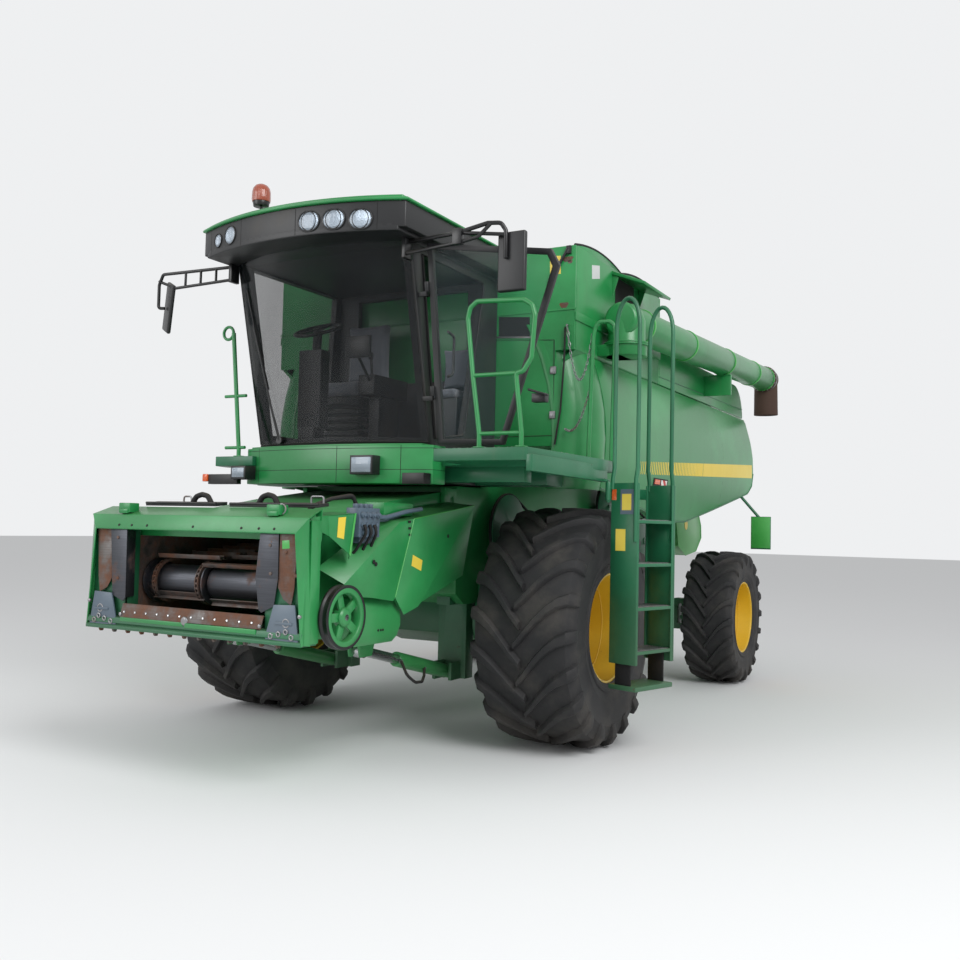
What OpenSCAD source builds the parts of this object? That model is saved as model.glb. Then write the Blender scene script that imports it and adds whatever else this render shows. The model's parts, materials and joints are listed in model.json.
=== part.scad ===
// Self-propelled grain harvester with five straw walkers, as it stands without its header.
// Millimetres, Z up. The machine faces -Y and its left side is +X.
// Inside the modules Y is measured from the front axle and X from the centreline.
// placed() moves every piece so that the origin is the middle of the footprint.

/* [Wheels] */
// Front axle to rear axle
wheelbase = 4030; // [3600:10:4400]
// Centreline to the middle of a front tyre
front_half_track = 1460; // [1300:5:1600]
// Centreline to the middle of a rear tyre
rear_half_track = 1590; // [1400:5:1700]
// Front tyre diameter over its lugs
front_tyre_d = 1850; // [1700:5:2000]
// Front tyre width
front_tyre_w = 800; // [600:10:900]
// Front rim diameter over its flange
front_rim_d = 870; // [800:5:960]
// Rear tyre diameter over its lugs
rear_tyre_d = 1464; // [1200:2:1600]
// Rear tyre width
rear_tyre_w = 540; // [400:10:650]
// Rear rim diameter over its flange
rear_rim_d = 812; // [700:2:880]
// Height of a lug above the tread
lug_h = 45; // [30:1:60]

/* [Body] */
// Width of the threshing body, outside to outside
body_w = 1400; // [1200:10:1700]
// Width over the grain tank
tank_w = 3000; // [2800:10:3200]
// Length of the grain tank
tank_len = 2060; // [1800:10:2400]
// Height of the tank rim
tank_top = 3950; // [3700:10:4100]
// Thickness of the tank's walls
tank_wall = 30; // [20:1:50]
// Sagitta of the curved side shields
shield_bulge = 120; // [60:5:160]
// Height of the hinge line of the side shields
shield_hinge_z = 3060; // [2900:10:3200]

/* [Cab] */
// Width over the cab pillars
cab_w = 1620; // [1500:10:1800]
// Height of the cab floor's top, which is the sill of the windscreen
cab_sill = 2290; // [2200:10:2400]
// Height of the underside of the roof
cab_head = 3780; // [3700:10:3850]
// Height of the top of the roof
roof_top = 3960; // [3900:5:4050]
// Forward bulge of the windscreen in plan
glass_bulge = 180; // [100:5:260]
// Forward lean of the windscreen in degrees
glass_lean = 13; // [8:0.5:18]
// How far the cab door stands open, in degrees
door_open = 90; // [0:1:95]

/* [Feeder] */
// Width over the front frame of the feeder
feeder_w = 1834; // [1600:2:2000]
// Width of the feeder's trunk
trunk_w = 1300; // [1100:10:1500]
// Clear width of the feeder's mouth
mouth_w = 1260; // [1000:10:1400]

/* [Unloading auger] */
// Diameter of the auger tube
auger_d = 360; // [300:5:420]
// Length of the tube from its turret to the spout
auger_len = 4820; // [4000:10:5600]
// Rise of the tube in degrees
auger_rise = 2.3; // [0:0.1:6]

/* [Ladder] */
// Width of the access ladder
ladder_w = 480; // [400:10:600]
// Depth of the access ladder
ladder_depth = 260; // [200:10:320]
// Turn of the ladder about its upright hinge
ladder_turn = 16.9; // [0:0.1:90]

/* [Hidden] */
$fn = 64;
ground_x = -170;
ground_y = -1530;
front_r = front_tyre_d / 2;
rear_r = rear_tyre_d / 2;
body_hw = body_w / 2;
tank_hw = tank_w / 2;
cab_hw = cab_w / 2;
tank_front = -60;
tank_rear = tank_front + tank_len;
tank_floor = 2330;
deck_rear = tank_rear + 1900;
deck_top = 3030;
screen_y = tank_rear + 650;
screen_z = 3550;
screen_d = 660;
tank_knee = 3110;
frame_hw = feeder_w / 2;
trunk_hw = trunk_w / 2;
door_x = cab_hw + 35;
door_pin = [cab_hw + 60, -1100, 2300];
door_lean = atan(215 / 1400);
auger_pivot = [tank_hw + 205, 560];
auger_z = 3432;
turret_z = 3230;
saddle_z = auger_z + (3500 - auger_pivot[1]) * tan(auger_rise) - auger_d / 2 / cos(auger_rise) - 0.3;
ladder_hinge = [tank_hw + 410, -310];
deck_edge = tank_hw + 350;
shield_front = 300;
shield_pin = [tank_hw + 7, 3070];
shield_back = 5100;
feeder_pivot = [-560, 1880];
lift_base = [-350, 520];
lift_eye = [-1530, 800];
lift_x = 560;

green = [0.10, 0.42, 0.24];
bright_green = [0.22, 0.60, 0.25];
dark_green = [0.07, 0.30, 0.20];
yellow = [0.93, 0.75, 0.13];
black = [0.07, 0.07, 0.08];
steel = [0.55, 0.55, 0.56];
grey = [0.38, 0.40, 0.44];
glass_tint = [0.20, 0.26, 0.30, 0.6];

// helpers

module placed() translate([ground_x, ground_y, 0]) children();

// both sides of the machine
module paired() {
    children();
    mirror([1, 0, 0]) children();
}

// extrudes a side outline, drawn as [Y, Z], from x0 to x1
module side_plate(x0, x1, outline) {
    translate([x0, 0, 0]) rotate([90, 0, 90])
        linear_extrude(height = x1 - x0) polygon(outline);
}

// extrudes a cross-section, drawn as [X, Z], from y0 to y1
module cross_plate(y0, y1, outline) {
    translate([0, y1, 0]) rotate([90, 0, 0])
        linear_extrude(height = y1 - y0) polygon(outline);
}

// extrudes a plan, drawn as [X, Y], from z0 to z1
module plan_plate(z0, z1, outline) {
    translate([0, 0, z0]) linear_extrude(height = z1 - z0) polygon(outline);
}

module box(low, high) translate(low) cube(high - low);

// round bar from p to q
module bar(p, q, d) {
    v = q - p;
    len = norm(v);
    translate(p) rotate([0, acos(v[2] / len), atan2(v[1], v[0])]) cylinder(h = len, d = d, $fn = 24);
}

// flat bar from p to q, a little longer than the distance so that it meets the next
module flat_bar(p, q, w, h) {
    v = q - p;
    len = norm(v) + 8;
    translate(p) rotate([0, acos(v[2] / norm(v)), atan2(v[1], v[0])])
        translate([-w / 2, -h / 2, -4]) cube([w, h, len]);
}

// bars through a list of points, with round joints
module bent_bar(points, d) {
    for (i = [0 : len(points) - 2]) bar(points[i], points[i + 1], d);
    for (i = [1 : len(points) - 2]) translate(points[i]) sphere(d = d * 1.06, $fn = 20);
}

// cylinder along X from x0 to x1
module x_cyl(x0, x1, y, z, d) {
    translate([x0, y, z]) rotate([0, 90, 0]) cylinder(h = x1 - x0, d = d);
}

// upright hoop, an inverted U of a width and height standing at the origin along X
module hoop(w, h, d, r) {
    for (s = [-1, 1]) {
        translate([s * w / 2, 0, 0]) cylinder(h = h - r, d = d);
        translate([s * (w / 2 - r), 0, h - r]) rotate([90, 0, s > 0 ? 0 : 90])
            rotate_extrude(angle = 90) translate([r, 0]) circle(d = d);
    }
    if (w > 2 * r) translate([-w / 2 + r, 0, h]) rotate([0, 90, 0]) cylinder(h = w - 2 * r, d = d);
}

// running gear

// height of a rim's flange above its barrel, and the gap under a tyre's bead
rim_lip = 13;
bead_gap = 0.5;

// closed tyre ring about X, with the bead round the rim's flange
module tyre(d, w, rim_d) {
    r = d / 2;
    seat = rim_d / 2 + bead_gap;
    // profile columns: radius, half-width share
    profile = [[seat - rim_lip, 0.40], [seat, 0.42], [seat, 0.455], [seat + 48, 0.47],
        [seat + (r - seat) * 0.45, 0.5], [r - 130, 0.495], [r - 40, 0.46], [r, 0.40]];
    color(black) rotate([0, 90, 0]) rotate_extrude($fn = 96) polygon(concat(
        [for (p = profile) [p[0], p[1] * w]],
        [for (i = [len(profile) - 1 : -1 : 0]) [profile[i][0], -profile[i][1] * w]]));
}

// dished rim about X, its open side on +X, its disc at disc_x
module rim(w, rim_d, disc_x, hub_d) {
    r = rim_d / 2;
    color(yellow) difference() {
        union() {
            rotate([0, 90, 0]) rotate_extrude($fn = 96) polygon([
                [r - 30, -w * 0.44], [r, -w * 0.44], [r, -w * 0.42], [r - rim_lip, -w * 0.40],
                [r - rim_lip, w * 0.40], [r, w * 0.42], [r, w * 0.44], [r - 30, w * 0.44],
                [r - 32, w * 0.36], [r - 32, -w * 0.36]]);
            x_cyl(disc_x - 12, disc_x + 12, 0, 0, rim_d - 50);
            x_cyl(disc_x - 12, disc_x + 110, 0, 0, hub_d);
        }
        for (a = [0 : 45 : 315]) rotate([a + 22.5, 0, 0])
            x_cyl(disc_x - 30, disc_x + 30, rim_d * 0.34, 0, 70);
    }
}

module tyre_front_left() placed() translate([front_half_track, 0, front_r])
    tyre(front_tyre_d, front_tyre_w, front_rim_d);
module tyre_front_right() placed() translate([-front_half_track, 0, front_r])
    tyre(front_tyre_d, front_tyre_w, front_rim_d);
module tyre_rear_left() placed() translate([rear_half_track, wheelbase, rear_r])
    tyre(rear_tyre_d, rear_tyre_w, rear_rim_d);
module tyre_rear_right() placed() translate([-rear_half_track, wheelbase, rear_r])
    tyre(rear_tyre_d, rear_tyre_w, rear_rim_d);

module front_rim_at(s) translate([s * front_half_track, 0, front_r]) scale_x(s)
    rim(front_tyre_w, front_rim_d, -20, 330);
module rear_rim_at(s) translate([s * rear_half_track, wheelbase, rear_r]) scale_x(s)
    rim(rear_tyre_w, rear_rim_d, -60, 230);
module scale_x(s) {
    if (s < 0) mirror([1, 0, 0]) children();
    else children();
}
module rim_front_left() placed() front_rim_at(1);
module rim_front_right() placed() front_rim_at(-1);
module rim_rear_left() placed() rear_rim_at(1);
module rim_rear_right() placed() rear_rim_at(-1);

// beam across the front with the final drives that carry the wheels
axle_h = 260;
module front_axle() placed() color(dark_green) {
    box([-760, -130, front_r - axle_h / 2], [760, 130, front_r + axle_h / 2]);
    paired() {
        x_cyl(740, 1150, 0, front_r, 520);
        x_cyl(1140, front_half_track - 32.5, 0, front_r, 300);
        box([760, -210, front_r - 20], [980, 210, front_r + 300]);
    }
}

// rear beam, hung at its middle, with a fork for each kingpin
kingpin_x = 1190;
rear_bracket_z = rear_r + 300;
kingpin_d = 70;
module rear_axle() placed() color(dark_green) difference() {
    union() {
        box([-1090, wheelbase - 90, rear_r - 110], [1090, wheelbase + 90, rear_r + 70]);
        box([-210, wheelbase - 150, rear_r + 60], [210, wheelbase + 150, rear_bracket_z]);
        paired() for (z = [rear_r - 175, rear_r + 115])
            box([1040, wheelbase - 70, z], [kingpin_x + 55, wheelbase + 70, z + 60]);
        paired() box([1040, wheelbase - 70, rear_r - 175], [1090, wheelbase + 70, rear_r + 175]);
    }
    paired() translate([kingpin_x, wheelbase, rear_r - 200]) cylinder(h = 400, d = kingpin_d);
}

// steered knuckle: kingpin, block and stub axle
module knuckle() color(dark_green) translate([0, wheelbase, rear_r]) {
    translate([kingpin_x, 0, -185]) cylinder(h = 370, d = kingpin_d - 0.8);
    translate([kingpin_x, 0, -114]) cylinder(h = 228, d = 150);
    x_cyl(kingpin_x, rear_half_track - 73, 0, 0, 150);
    x_cyl(rear_half_track - 135, rear_half_track - 72.5, 0, 0, 210);
    box([kingpin_x - 20, -250, -45], [kingpin_x + 60, -40, -5]);
}
module knuckle_left() placed() knuckle();
module knuckle_right() placed() mirror([1, 0, 0]) knuckle();

// long rails under the body, with the bracket of the rear beam and the tow hitch
hitch = [0, wheelbase + 770, 800];
hitch_pin_d = 34;
rail_z = front_r + axle_h / 2;
module frame_rails() {
    paired() box([500, -420, rail_z], [620, wheelbase + 390, 1230]);
    box([-620, wheelbase - 150, rear_bracket_z], [620, wheelbase + 150, 1230]);
    box([-620, wheelbase + 270, rail_z], [620, wheelbase + 390, 1230]);
    paired() box([430, -270, 460], [690, -150, 1100]);
}
module chassis_frame() placed() color(dark_green) difference() {
    union() {
        frame_rails();
        paired() for (x = [lift_x - 88, lift_x + 62]) box([x, -420, 460], [x + 26, -250, 600]);
        paired() x_cyl(lift_x - 88, lift_x + 88, lift_base[0], lift_base[1], 50);
        side_plate(-60, 60, [[wheelbase + 150, 1230], [wheelbase + 390, 1230], [wheelbase + 670, 900],
            [wheelbase + 670, 770], [wheelbase + 630, 770], [wheelbase + 150, 1060]]);
        box([-60, hitch[1] - 140, 770], [60, hitch[1] + 80, 830]);
    }
    translate([hitch[0], hitch[1], 700]) cylinder(h = 200, d = hitch_pin_d);
}

// body

// side outline of the threshing body, columns Y and Z
body_top = deck_top - 20;
body_outline = [[-470, 2000], [-470, 1150], [-330, 1060], [330, 1060], [480, 720],
    [900, 580], [1700, 600], [wheelbase - 1330, 640], [wheelbase - 730, 860],
    [wheelbase - 580, 1240], [4500, 1270], [4800, 1700], [5180, 1900], [5250, 2500],
    [4700, 2880], [deck_rear, body_top], [tank_rear + 40, body_top], [tank_rear + 40, 2300],
    [tank_front - 20, 2300], [tank_front - 20, 2000]];
module threshing_body() placed() color(green) difference() {
    union() {
        side_plate(-body_hw, body_hw, body_outline);
        // lugs that carry the feeder's pivot
        paired() box([trunk_hw + 6, -660, 1780], [body_hw, -470, 1980]);
    }
    frame_rails();
    // mouth that takes the crop from the feeder
    box([-640, -480, 1250], [640, -420, 1850]);
    x_cyl(-body_hw - 1, body_hw + 1, feeder_pivot[0], feeder_pivot[1], 60.8);
}

module straw_chopper() placed() color(bright_green) difference() {
    side_plate(-880, 880, [[4560, 2060], [4520, 1760], [4600, 1500], [4900, 1380], [5340, 1430],
        [5560, 1600], [5540, 1760], [5260, 2140]]);
    box([-body_hw, 4400, 1300], [body_hw, 5250, 2500]);
    box([-840, 5200, 1460], [840, 5500, 1640]);
}

// tank cross-section, columns X and Z, at an inset from the outside
function tank_section(inset, top) = [[-tank_hw + inset, top], [-tank_hw + inset, tank_knee + inset * 0.4],
    [-640 + inset * 0.5, tank_floor + inset], [640 - inset * 0.5, tank_floor + inset],
    [tank_hw - inset, tank_knee + inset * 0.4], [tank_hw - inset, top]];
module grain_tank() placed() color(green) {
    difference() {
        cross_plate(tank_front, tank_rear, tank_section(0, tank_top));
        cross_plate(tank_front + tank_wall, tank_rear - tank_wall, tank_section(tank_wall, tank_top + 50));
    }
    // front wall down to the platform, and the fixed corner ahead of each side shield
    difference() {
        box([-tank_hw, tank_front, 2300], [tank_hw, tank_front + tank_wall, tank_knee]);
        box([-800, tank_front - 1, 2290], [800, tank_front + tank_wall + 1, 2340]);
    }
    paired() box([tank_hw - tank_wall, tank_front, 2000], [tank_hw, shield_front - 6, 3112]);
    // pins that the side shields swing on
    paired() box([tank_hw - 20, shield_front - 60, 3030], [shield_pin[0] + 16, shield_front - 6, 3100]);
    paired() translate([shield_pin[0], shield_front - 20, shield_pin[1]]) rotate([-90, 0, 0]) cylinder(h = 60, d = 10);
    for (y = [tank_front + 6, tank_rear - 6]) cover_pins(y);
    // band around the tank
    paired() box([tank_hw, tank_front, 3290], [tank_hw + 12, tank_rear, 3350]);
    box([-tank_hw, tank_front - 12, 3290], [tank_hw, tank_front, 3350]);
}

module tank_auger() placed() color(steel) {
    x_cyl(-590, 590, 1000, tank_floor + 190, 70);
    for (x = [-560 : 140 : 560]) x_cyl(x, x + 14, 1000, tank_floor + 190, 260);
    paired() x_cyl(560, 600, 1000, tank_floor + 190, 2 * (190 - tank_wall) - 0.6);
}

module engine_block() placed() color(grey)
    box([-480, tank_rear + 250, deck_top], [620, tank_rear + 1350, 3720]);

// deck around the engine, with the side panels above the shields
module engine_deck() placed() color(green) difference() {
    union() {
        box([-tank_hw + 30, tank_rear, deck_top - 50], [tank_hw - 30, deck_rear, deck_top]);
        paired() box([tank_hw - 60, tank_rear, deck_top - 50], [tank_hw - 29, deck_rear, 3200]);
        paired() box([tank_hw - 30, tank_rear, 3110], [tank_hw, deck_rear, 3200]);
        side_plate(-body_hw, body_hw, [[deck_rear - 10, body_top + 10], [4700, 2890], [4720, 2930], [deck_rear - 10, 3130]]);
    }
    box([-body_hw, tank_rear + 40, deck_top - 60], [body_hw, deck_rear + 1, body_top]);
    // gap in the right panel that the screen's housing fills
    box([-tank_hw - 1, screen_y - 500, deck_top], [-900, screen_y + 500, 3300]);
}

module screen_housing() placed() {
    screen_bridge();
    screen_box();
}
module screen_box() color(green) difference() {
    box([-tank_hw, screen_y - 500, deck_top], [-900, screen_y + 500, 3930]);
    box([-tank_hw + 60, screen_y - 440, deck_top + 35], [-840, screen_y + 440, 3890]);
    x_cyl(-tank_hw - 1, -tank_hw + 61, screen_y, screen_z, screen_d + 16);
    // room for the top edge of the side shield as it swings
    box([-tank_hw - 1, screen_y - 501, deck_top - 1], [-tank_hw + 30, screen_y + 501, 3110]);
}
module screen_bridge() color(green)
    box([-1199.7, screen_y - 450, screen_z - 30], [-1160, screen_y + 450, screen_z + 30]);
module screen_drum() placed() color(black) {
    x_cyl(-tank_hw - 20, -tank_hw + 90, screen_y, screen_z, screen_d);
    x_cyl(-tank_hw + 90, -tank_hw + 300, screen_y, screen_z, 60);
}

module exhaust() placed() color(steel) {
    translate([900, tank_rear + 500, deck_top]) cylinder(h = 760, d = 150);
    translate([900, tank_rear + 500, deck_top + 750]) cylinder(h = 160, d = 110);
    translate([1000, tank_rear + 1200, deck_top]) cylinder(h = 560, d = 300);
}

module fuel_tank() placed() color(black) box([-1380, 2500, 1900], [-body_hw, 3600, 2700]);

ladder_back = 5080;
module rear_ladder() placed() color(dark_green) {
    for (x = [-1330, -930]) box([x, ladder_back - 60, 1100], [x + 30, ladder_back, 3600]);
    for (z = [1150 : 300 : 2950]) box([-1330, ladder_back - 60, z], [-900, ladder_back, z + 30]);
    box([-1330, deck_rear, deck_top - 40], [-900, ladder_back, deck_top]);
    for (x = [-1330, -930]) box([x, deck_rear, 3560], [x + 30, ladder_back, 3600]);
    for (x = [-1330, -930]) box([x, deck_rear, 3000], [x + 30, deck_rear + 30, 3600]);
}

// cab

// solid of the cab at an inset: flat sides, a curved front that leans forward
glass_r = (pow(cab_hw - 10, 2) + pow(glass_bulge, 2)) / (2 * glass_bulge);
cab_front = -1215;
module cab_solid(inset, z0, z1) intersection() {
    box([-cab_hw + inset, -2200, z0], [cab_hw - inset, tank_front - 20 - inset, z1]);
    translate([0, cab_front + inset + glass_r, cab_sill]) rotate([glass_lean, 0, 0])
        translate([0, 0, -900]) cylinder(h = 3400, r = glass_r, $fn = 96);
}
module cab_shell() placed() color(black) {
    door_brackets();
    cab_walls();
}
// base under the cab, with the same curved front
cab_floor = cab_sill + 12;
base_hw = cab_hw + 10;
module cab_base() intersection() {
    translate([0, cab_front + glass_r, 0]) cylinder(h = 4000, r = glass_r, $fn = 96);
    box([-base_hw, -1300, 2010], [base_hw, tank_front - 40, cab_sill - 1]);
}
module cab_walls() difference() {
    union() {
        cab_solid(0, cab_sill - 10, cab_head);
        cab_base();
    }
    cab_solid(55, cab_floor, cab_head - 40);
    // windscreen
    box([-cab_hw + 60, -2300, cab_sill + 40], [cab_hw - 60, -900, cab_head - 70]);
    // door opening on the left, window on the right
    side_plate(cab_hw - 100, cab_hw + 60, [[-1015, 2330], [-590, 2390], [-310, 3650], [-1245, 3650]]);
    side_plate(-cab_hw - 60, -cab_hw + 100, [[-1000, 2390], [-300, 2390], [-200, 3690], [-1290, 3690]]);
    // rear window
    box([-560, -300, 2900], [560, 0, 3650]);
}
module cab_glass() placed() color(glass_tint) {
    difference() {
        intersection() {
            cab_solid(18, cab_sill + 40.5, cab_head - 70.5);
            box([-cab_hw + 60.5, -2300, 2300], [cab_hw - 60.5, -900, 4000]);
        }
        cab_solid(24, cab_sill, cab_head);
    }
    side_plate(-cab_hw + 20, -cab_hw + 26, [[-1000, 2390.5], [-300.5, 2390.5], [-200.5, 3689.5], [-1289, 3689.5]]);
}
module cab_roof() placed() color(green) difference() {
    union() {
        intersection() {
            translate([0, -1870 + 2300, 0]) cylinder(h = 5000, r = 2300, $fn = 96);
            box([-950, -2000, 3850], [950, -75, roof_top - 30]);
        }
        intersection() {
            translate([0, -1840 + 2300, 0]) cylinder(h = 5000, r = 2300, $fn = 96);
            box([-890, -2000, 3850], [890, -100, roof_top]);
        }
    }
    box([-830, -1500, 3849], [830, -200, 3905]);
    roof_lamps(0.6, 200);
}
module fascia_solid() intersection() {
    translate([0, -1850 + 2300, 0]) cylinder(h = 5000, r = 2300, $fn = 96);
    box([-930, -2000, 3770], [930, -85, 3849.7]);
}
module roof_fascia() placed() color(black) difference() {
    fascia_solid();
    roof_lamps(0.6, 200);
    cab_solid(-0.5, 3700, 3900);
    box([-780, -1400, 3700], [780, -200, 3860]);
}

module operator_seat() placed() color(grey) {
    box([-260, -760, 2720], [260, -260, 2850]);
    box([-250, -330, 2850.5], [250, -200, 3450]);
}
module buddy_seat() placed() color(grey) {
    box([370, -560, 2700], [720, -200, 2780]);
    box([370, -260, 2780.5], [720, -180, 3180]);
}
module seat_bases() placed() color(black) {
    box([-200, -700, cab_floor], [200, -300, 2719.7]);
    box([380, -540, cab_floor], [710, -220, 2699.7]);
}
module cab_controls() placed() color(black) {
    box([-60, -1130, cab_floor], [60, -980, 2420]);
    bar([0, -1050, 2400], [0, -900, 3000], 90);
    translate([0, -900, 3000]) rotate([14, 0, 0]) rotate_extrude($fn = 64) translate([190, 0]) circle(d = 28, $fn = 24);
    translate([0, -900, 3000]) rotate([14, 0, 0]) for (a = [90, 210, 330]) rotate([0, 0, a])
        translate([0, -14, -9]) cube([186, 28, 18]);
    box([-560, -820, 2700], [-330, -300, 2900]);
    box([-520, -700, cab_floor], [-380, -400, 2701]);
}

// door frame and glass, drawn shut in the plane of X and turned open about the leaning hinge
// outline columns: Y and Z
door_edge = [[-1042, 2322], [-578, 2383], [-293, 3594], [-340, 3669], [-1252, 3669]];
door_rim = [[-1083, 2279], [-547, 2345], [-247, 3606], [-319, 3711], [-1297, 3711]];
module on_door_pin() translate(door_pin) rotate([door_lean, 0, 0]) children();
module door_turned() on_door_pin() rotate([0, 0, -door_open]) rotate([-door_lean, 0, 0])
    translate(-door_pin) children();
door_barrels = [330, 1080];
module cab_door() placed() color(black) {
    door_turned() difference() {
        side_plate(door_x - 18, door_x + 18, door_rim);
        side_plate(door_x - 19, door_x + 19, door_edge);
    }
    on_door_pin() difference() {
        for (z = door_barrels) {
            translate([0, 0, z]) cylinder(h = 70, d = 40);
            rotate([0, 0, -door_open]) box([-32, 0, z + 5], [-6, 34, z + 65]);
        }
        for (z = door_barrels) translate([0, 0, z - 1]) cylinder(h = 72, d = 20.8);
    }
}
module cab_door_glass() placed() color(glass_tint) door_turned()
    side_plate(door_x - 3, door_x + 3, door_edge);
// brackets on the pillar with the pins that the door turns on
module door_brackets() on_door_pin() for (z = door_barrels) {
    box([-70, -30, z - 32], [10, 2, z - 0.4]);
    translate([0, 0, z - 20]) cylinder(h = 84, d = 20);
}

// platforms and rails
platform_z = 2210;
module platforms() placed() {
    color(dark_green) {
        plan_plate(platform_z - 90, platform_z, [[cab_hw + 31, -1560], [deck_edge, -1560],
            [deck_edge + 40, -440], [deck_edge + 30, -64], [cab_hw + 31, -64]]);
        side_plate(deck_edge - 10, deck_edge + 26, [[-1560, 2050], [-270, 2040], [-270, 2160], [-1560, 2160]]);
        box([deck_edge - 10, -350, 2040], [ladder_hinge[0], -270, 2060]);
        translate([ladder_hinge[0], ladder_hinge[1], 1886]) cylinder(h = 160, d = 26);
        plan_plate(platform_z - 90, platform_z, [[-cab_hw - 31, -1250], [-1180, -1250], [-1180, -64], [-cab_hw - 31, -64]]);
        box([-1100, -900, 2010], [-base_hw, -780, 2121]);
        box([base_hw, -900, 2010], [1500, -780, 2121]);
        paired() box([base_hw, -400, 2010], [tank_hw - 40, -100, 2121]);
    }
}
module side_hoop(gap) translate([deck_edge + 12, -150, platform_z]) rotate([0, 0, 90])
    hoop(170, 1100, 32 + gap, 80);
module guard_rails() placed() color(green) {
    translate([deck_edge - 240, -1535, platform_z]) hoop(430, 930, 32, 90);
    for (z = [2380, 2690]) bar([deck_edge - 450, -1535, z], [deck_edge - 30, -1535, z], 28);
    side_hoop(0);
    // pole with rungs beside the right pillar
    translate([-1100, -1200, platform_z]) cylinder(h = 1150, d = 34);
    for (z = [2500, 2860, 3220]) bar([-1100, -1200, z], [-cab_hw, -1200, z], 28);
}

module mirrors() placed() color(black) difference() {
    paired() {
        bent_bar([[760, -1600, 3800], [1380, -1560, 3740], [1640, -1450, 3700], [1660, -1450, 3500]], 30);
        bent_bar([[760, -1545, 3770], [1300, -1500, 3580], [1655, -1450, 3640]], 26);
        box([1550, -1475, 3200], [1760, -1425, 3620]);
    }
    fascia_solid();
}

// lamp columns: X, Y, Z, diameter
roof_lamp_list = [[-800, -1600, 3848, 120], [-620, -1680, 3848, 120], [100, -1842, 3845, 130],
    [310, -1822, 3845, 130], [540, -1780, 3845, 130]];
// the roof's lamps, or the pockets that they sit in
module roof_lamps(gap, depth) for (l = roof_lamp_list)
    translate([l[0], l[1] + 30, l[2] - 40]) rotate([90, 0, 0]) cylinder(h = depth, d = l[3] + gap);
module lamps() placed() color([0.85, 0.87, 0.9]) {
    roof_lamps(0, 60);
    difference() {
        for (x = [-600, 600]) box([x - 60, -1190, 2120], [x + 60, -1120, 2220]);
        cab_base();
    }
}
module beacon() placed() color([0.95, 0.45, 0.08]) translate([-620, -1380, roof_top]) {
    cylinder(h = 260, d = 22);
    translate([0, 0, 200]) cylinder(h = 180, d = 110);
}
module tank_flaps() placed() color(green) paired()
    cross_plate(350, 1340, [[tank_hw, 3925], [tank_hw, 3950], [1750, 3850], [1740, 3830]]);

// bowed covers over the tank, each hinged at its outer end
cover_gap = 20;
cover_len = (tank_len - 3 * cover_gap) / 2;
cover_sag = 60;
cover_r = (pow(cover_len / 2, 2) + pow(cover_sag, 2)) / (2 * cover_sag);
// hinge barrels along the outer end of a cover, and the pins on the tank that hold them
cover_pin_z = tank_top + 13;
cover_hinge_x = [-1000, 0, 1000];
module cover_barrels(y, s) color(green) difference() {
    for (x = cover_hinge_x) {
        x_cyl(x - 45, x + 45, y, cover_pin_z, 24);
        box([x - 45, min(y, y + s * 60), cover_pin_z - 4], [x + 45, max(y, y + s * 60), cover_pin_z + 8]);
    }
    x_cyl(-tank_hw, tank_hw, y, cover_pin_z, 12.8);
}
module cover_pins(y) for (x = cover_hinge_x) {
    x_cyl(x - 60, x + 60, y, cover_pin_z, 12);
    for (s = [-1, 1]) box([x + s * 54 - 6, y - 9, tank_top - 2], [x + s * 54 + 6, y + 9, cover_pin_z + 9]);
}
module tank_cover(y0) color(green) difference() {
    intersection() {
        x_cyl(-tank_hw + 10, tank_hw - 10, y0 + cover_len / 2, tank_top + 8 + cover_sag - cover_r, 2 * cover_r);
        box([-tank_hw + 10, y0, tank_top + 0.3], [tank_hw - 10, y0 + cover_len, tank_top + 200]);
    }
    intersection() {
        x_cyl(-tank_hw + 40, tank_hw - 40, y0 + cover_len / 2, tank_top + 8 + cover_sag - cover_r, 2 * cover_r - 24);
        box([-tank_hw + 40, y0 + 30, tank_top], [tank_hw - 40, y0 + cover_len - 30, tank_top + 200]);
    }
}
module tank_cover_front() placed() {
    tank_cover(tank_front + cover_gap);
    cover_barrels(tank_front + 6, 1);
}
module tank_cover_rear() placed() {
    tank_cover(tank_front + 2 * cover_gap + cover_len);
    cover_barrels(tank_rear - 6, -1);
}

// drives on the sides of the body
// columns: side, Y, Z, diameter, distance out from the body
pulleys = [[1, 250, 1650, 620, 60], [1, 1250, 1300, 420, 60], [1, 2500, 1900, 560, 60],
    [1, 3600, 1560, 520, 60], [-1, 300, 1700, 520, 60], [-1, 1500, 1250, 460, 60], [-1, 3000, 1500, 420, 60]];
module drive_pulleys() placed() color(dark_green) {
    for (p = pulleys) scale_x(p[0]) {
        x_cyl(body_hw, body_hw + p[4] + 50, p[1], p[2], 80);
        difference() {
            x_cyl(body_hw + p[4], body_hw + p[4] + 40, p[1], p[2], p[3]);
            x_cyl(body_hw + p[4] - 1, body_hw + p[4] + 12, p[1], p[2], p[3] - 60);
        }
    }
}
module belt(a, b, x) {
    color(black) side_belt(a, b, x);
}
module side_belt(a, b, x) translate([x, 0, 0]) rotate([90, 0, 90]) linear_extrude(height = 24) difference() {
    hull() {
        translate([a[1], a[2]]) circle(d = a[3] + 26);
        translate([b[1], b[2]]) circle(d = b[3] + 26);
    }
    hull() {
        translate([a[1], a[2]]) circle(d = a[3] + 1.2);
        translate([b[1], b[2]]) circle(d = b[3] + 1.2);
    }
}
module drive_belts() placed() {
    belt(pulleys[0], pulleys[1], body_hw + 68);
    belt(pulleys[2], pulleys[3], body_hw + 68);
    mirror([1, 0, 0]) belt(pulleys[4], pulleys[5], body_hw + 68);
}

module lamp_boards() placed() color(dark_green) paired() {
    bent_bar([[880, 4900, 1900], [940, 4900, 1900], [1500, 4860, 1900], [1880, 4740, 1620]], 36);
    box([1770, 4704, 1480], [1960, 4724, 1680]);
}

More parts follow.
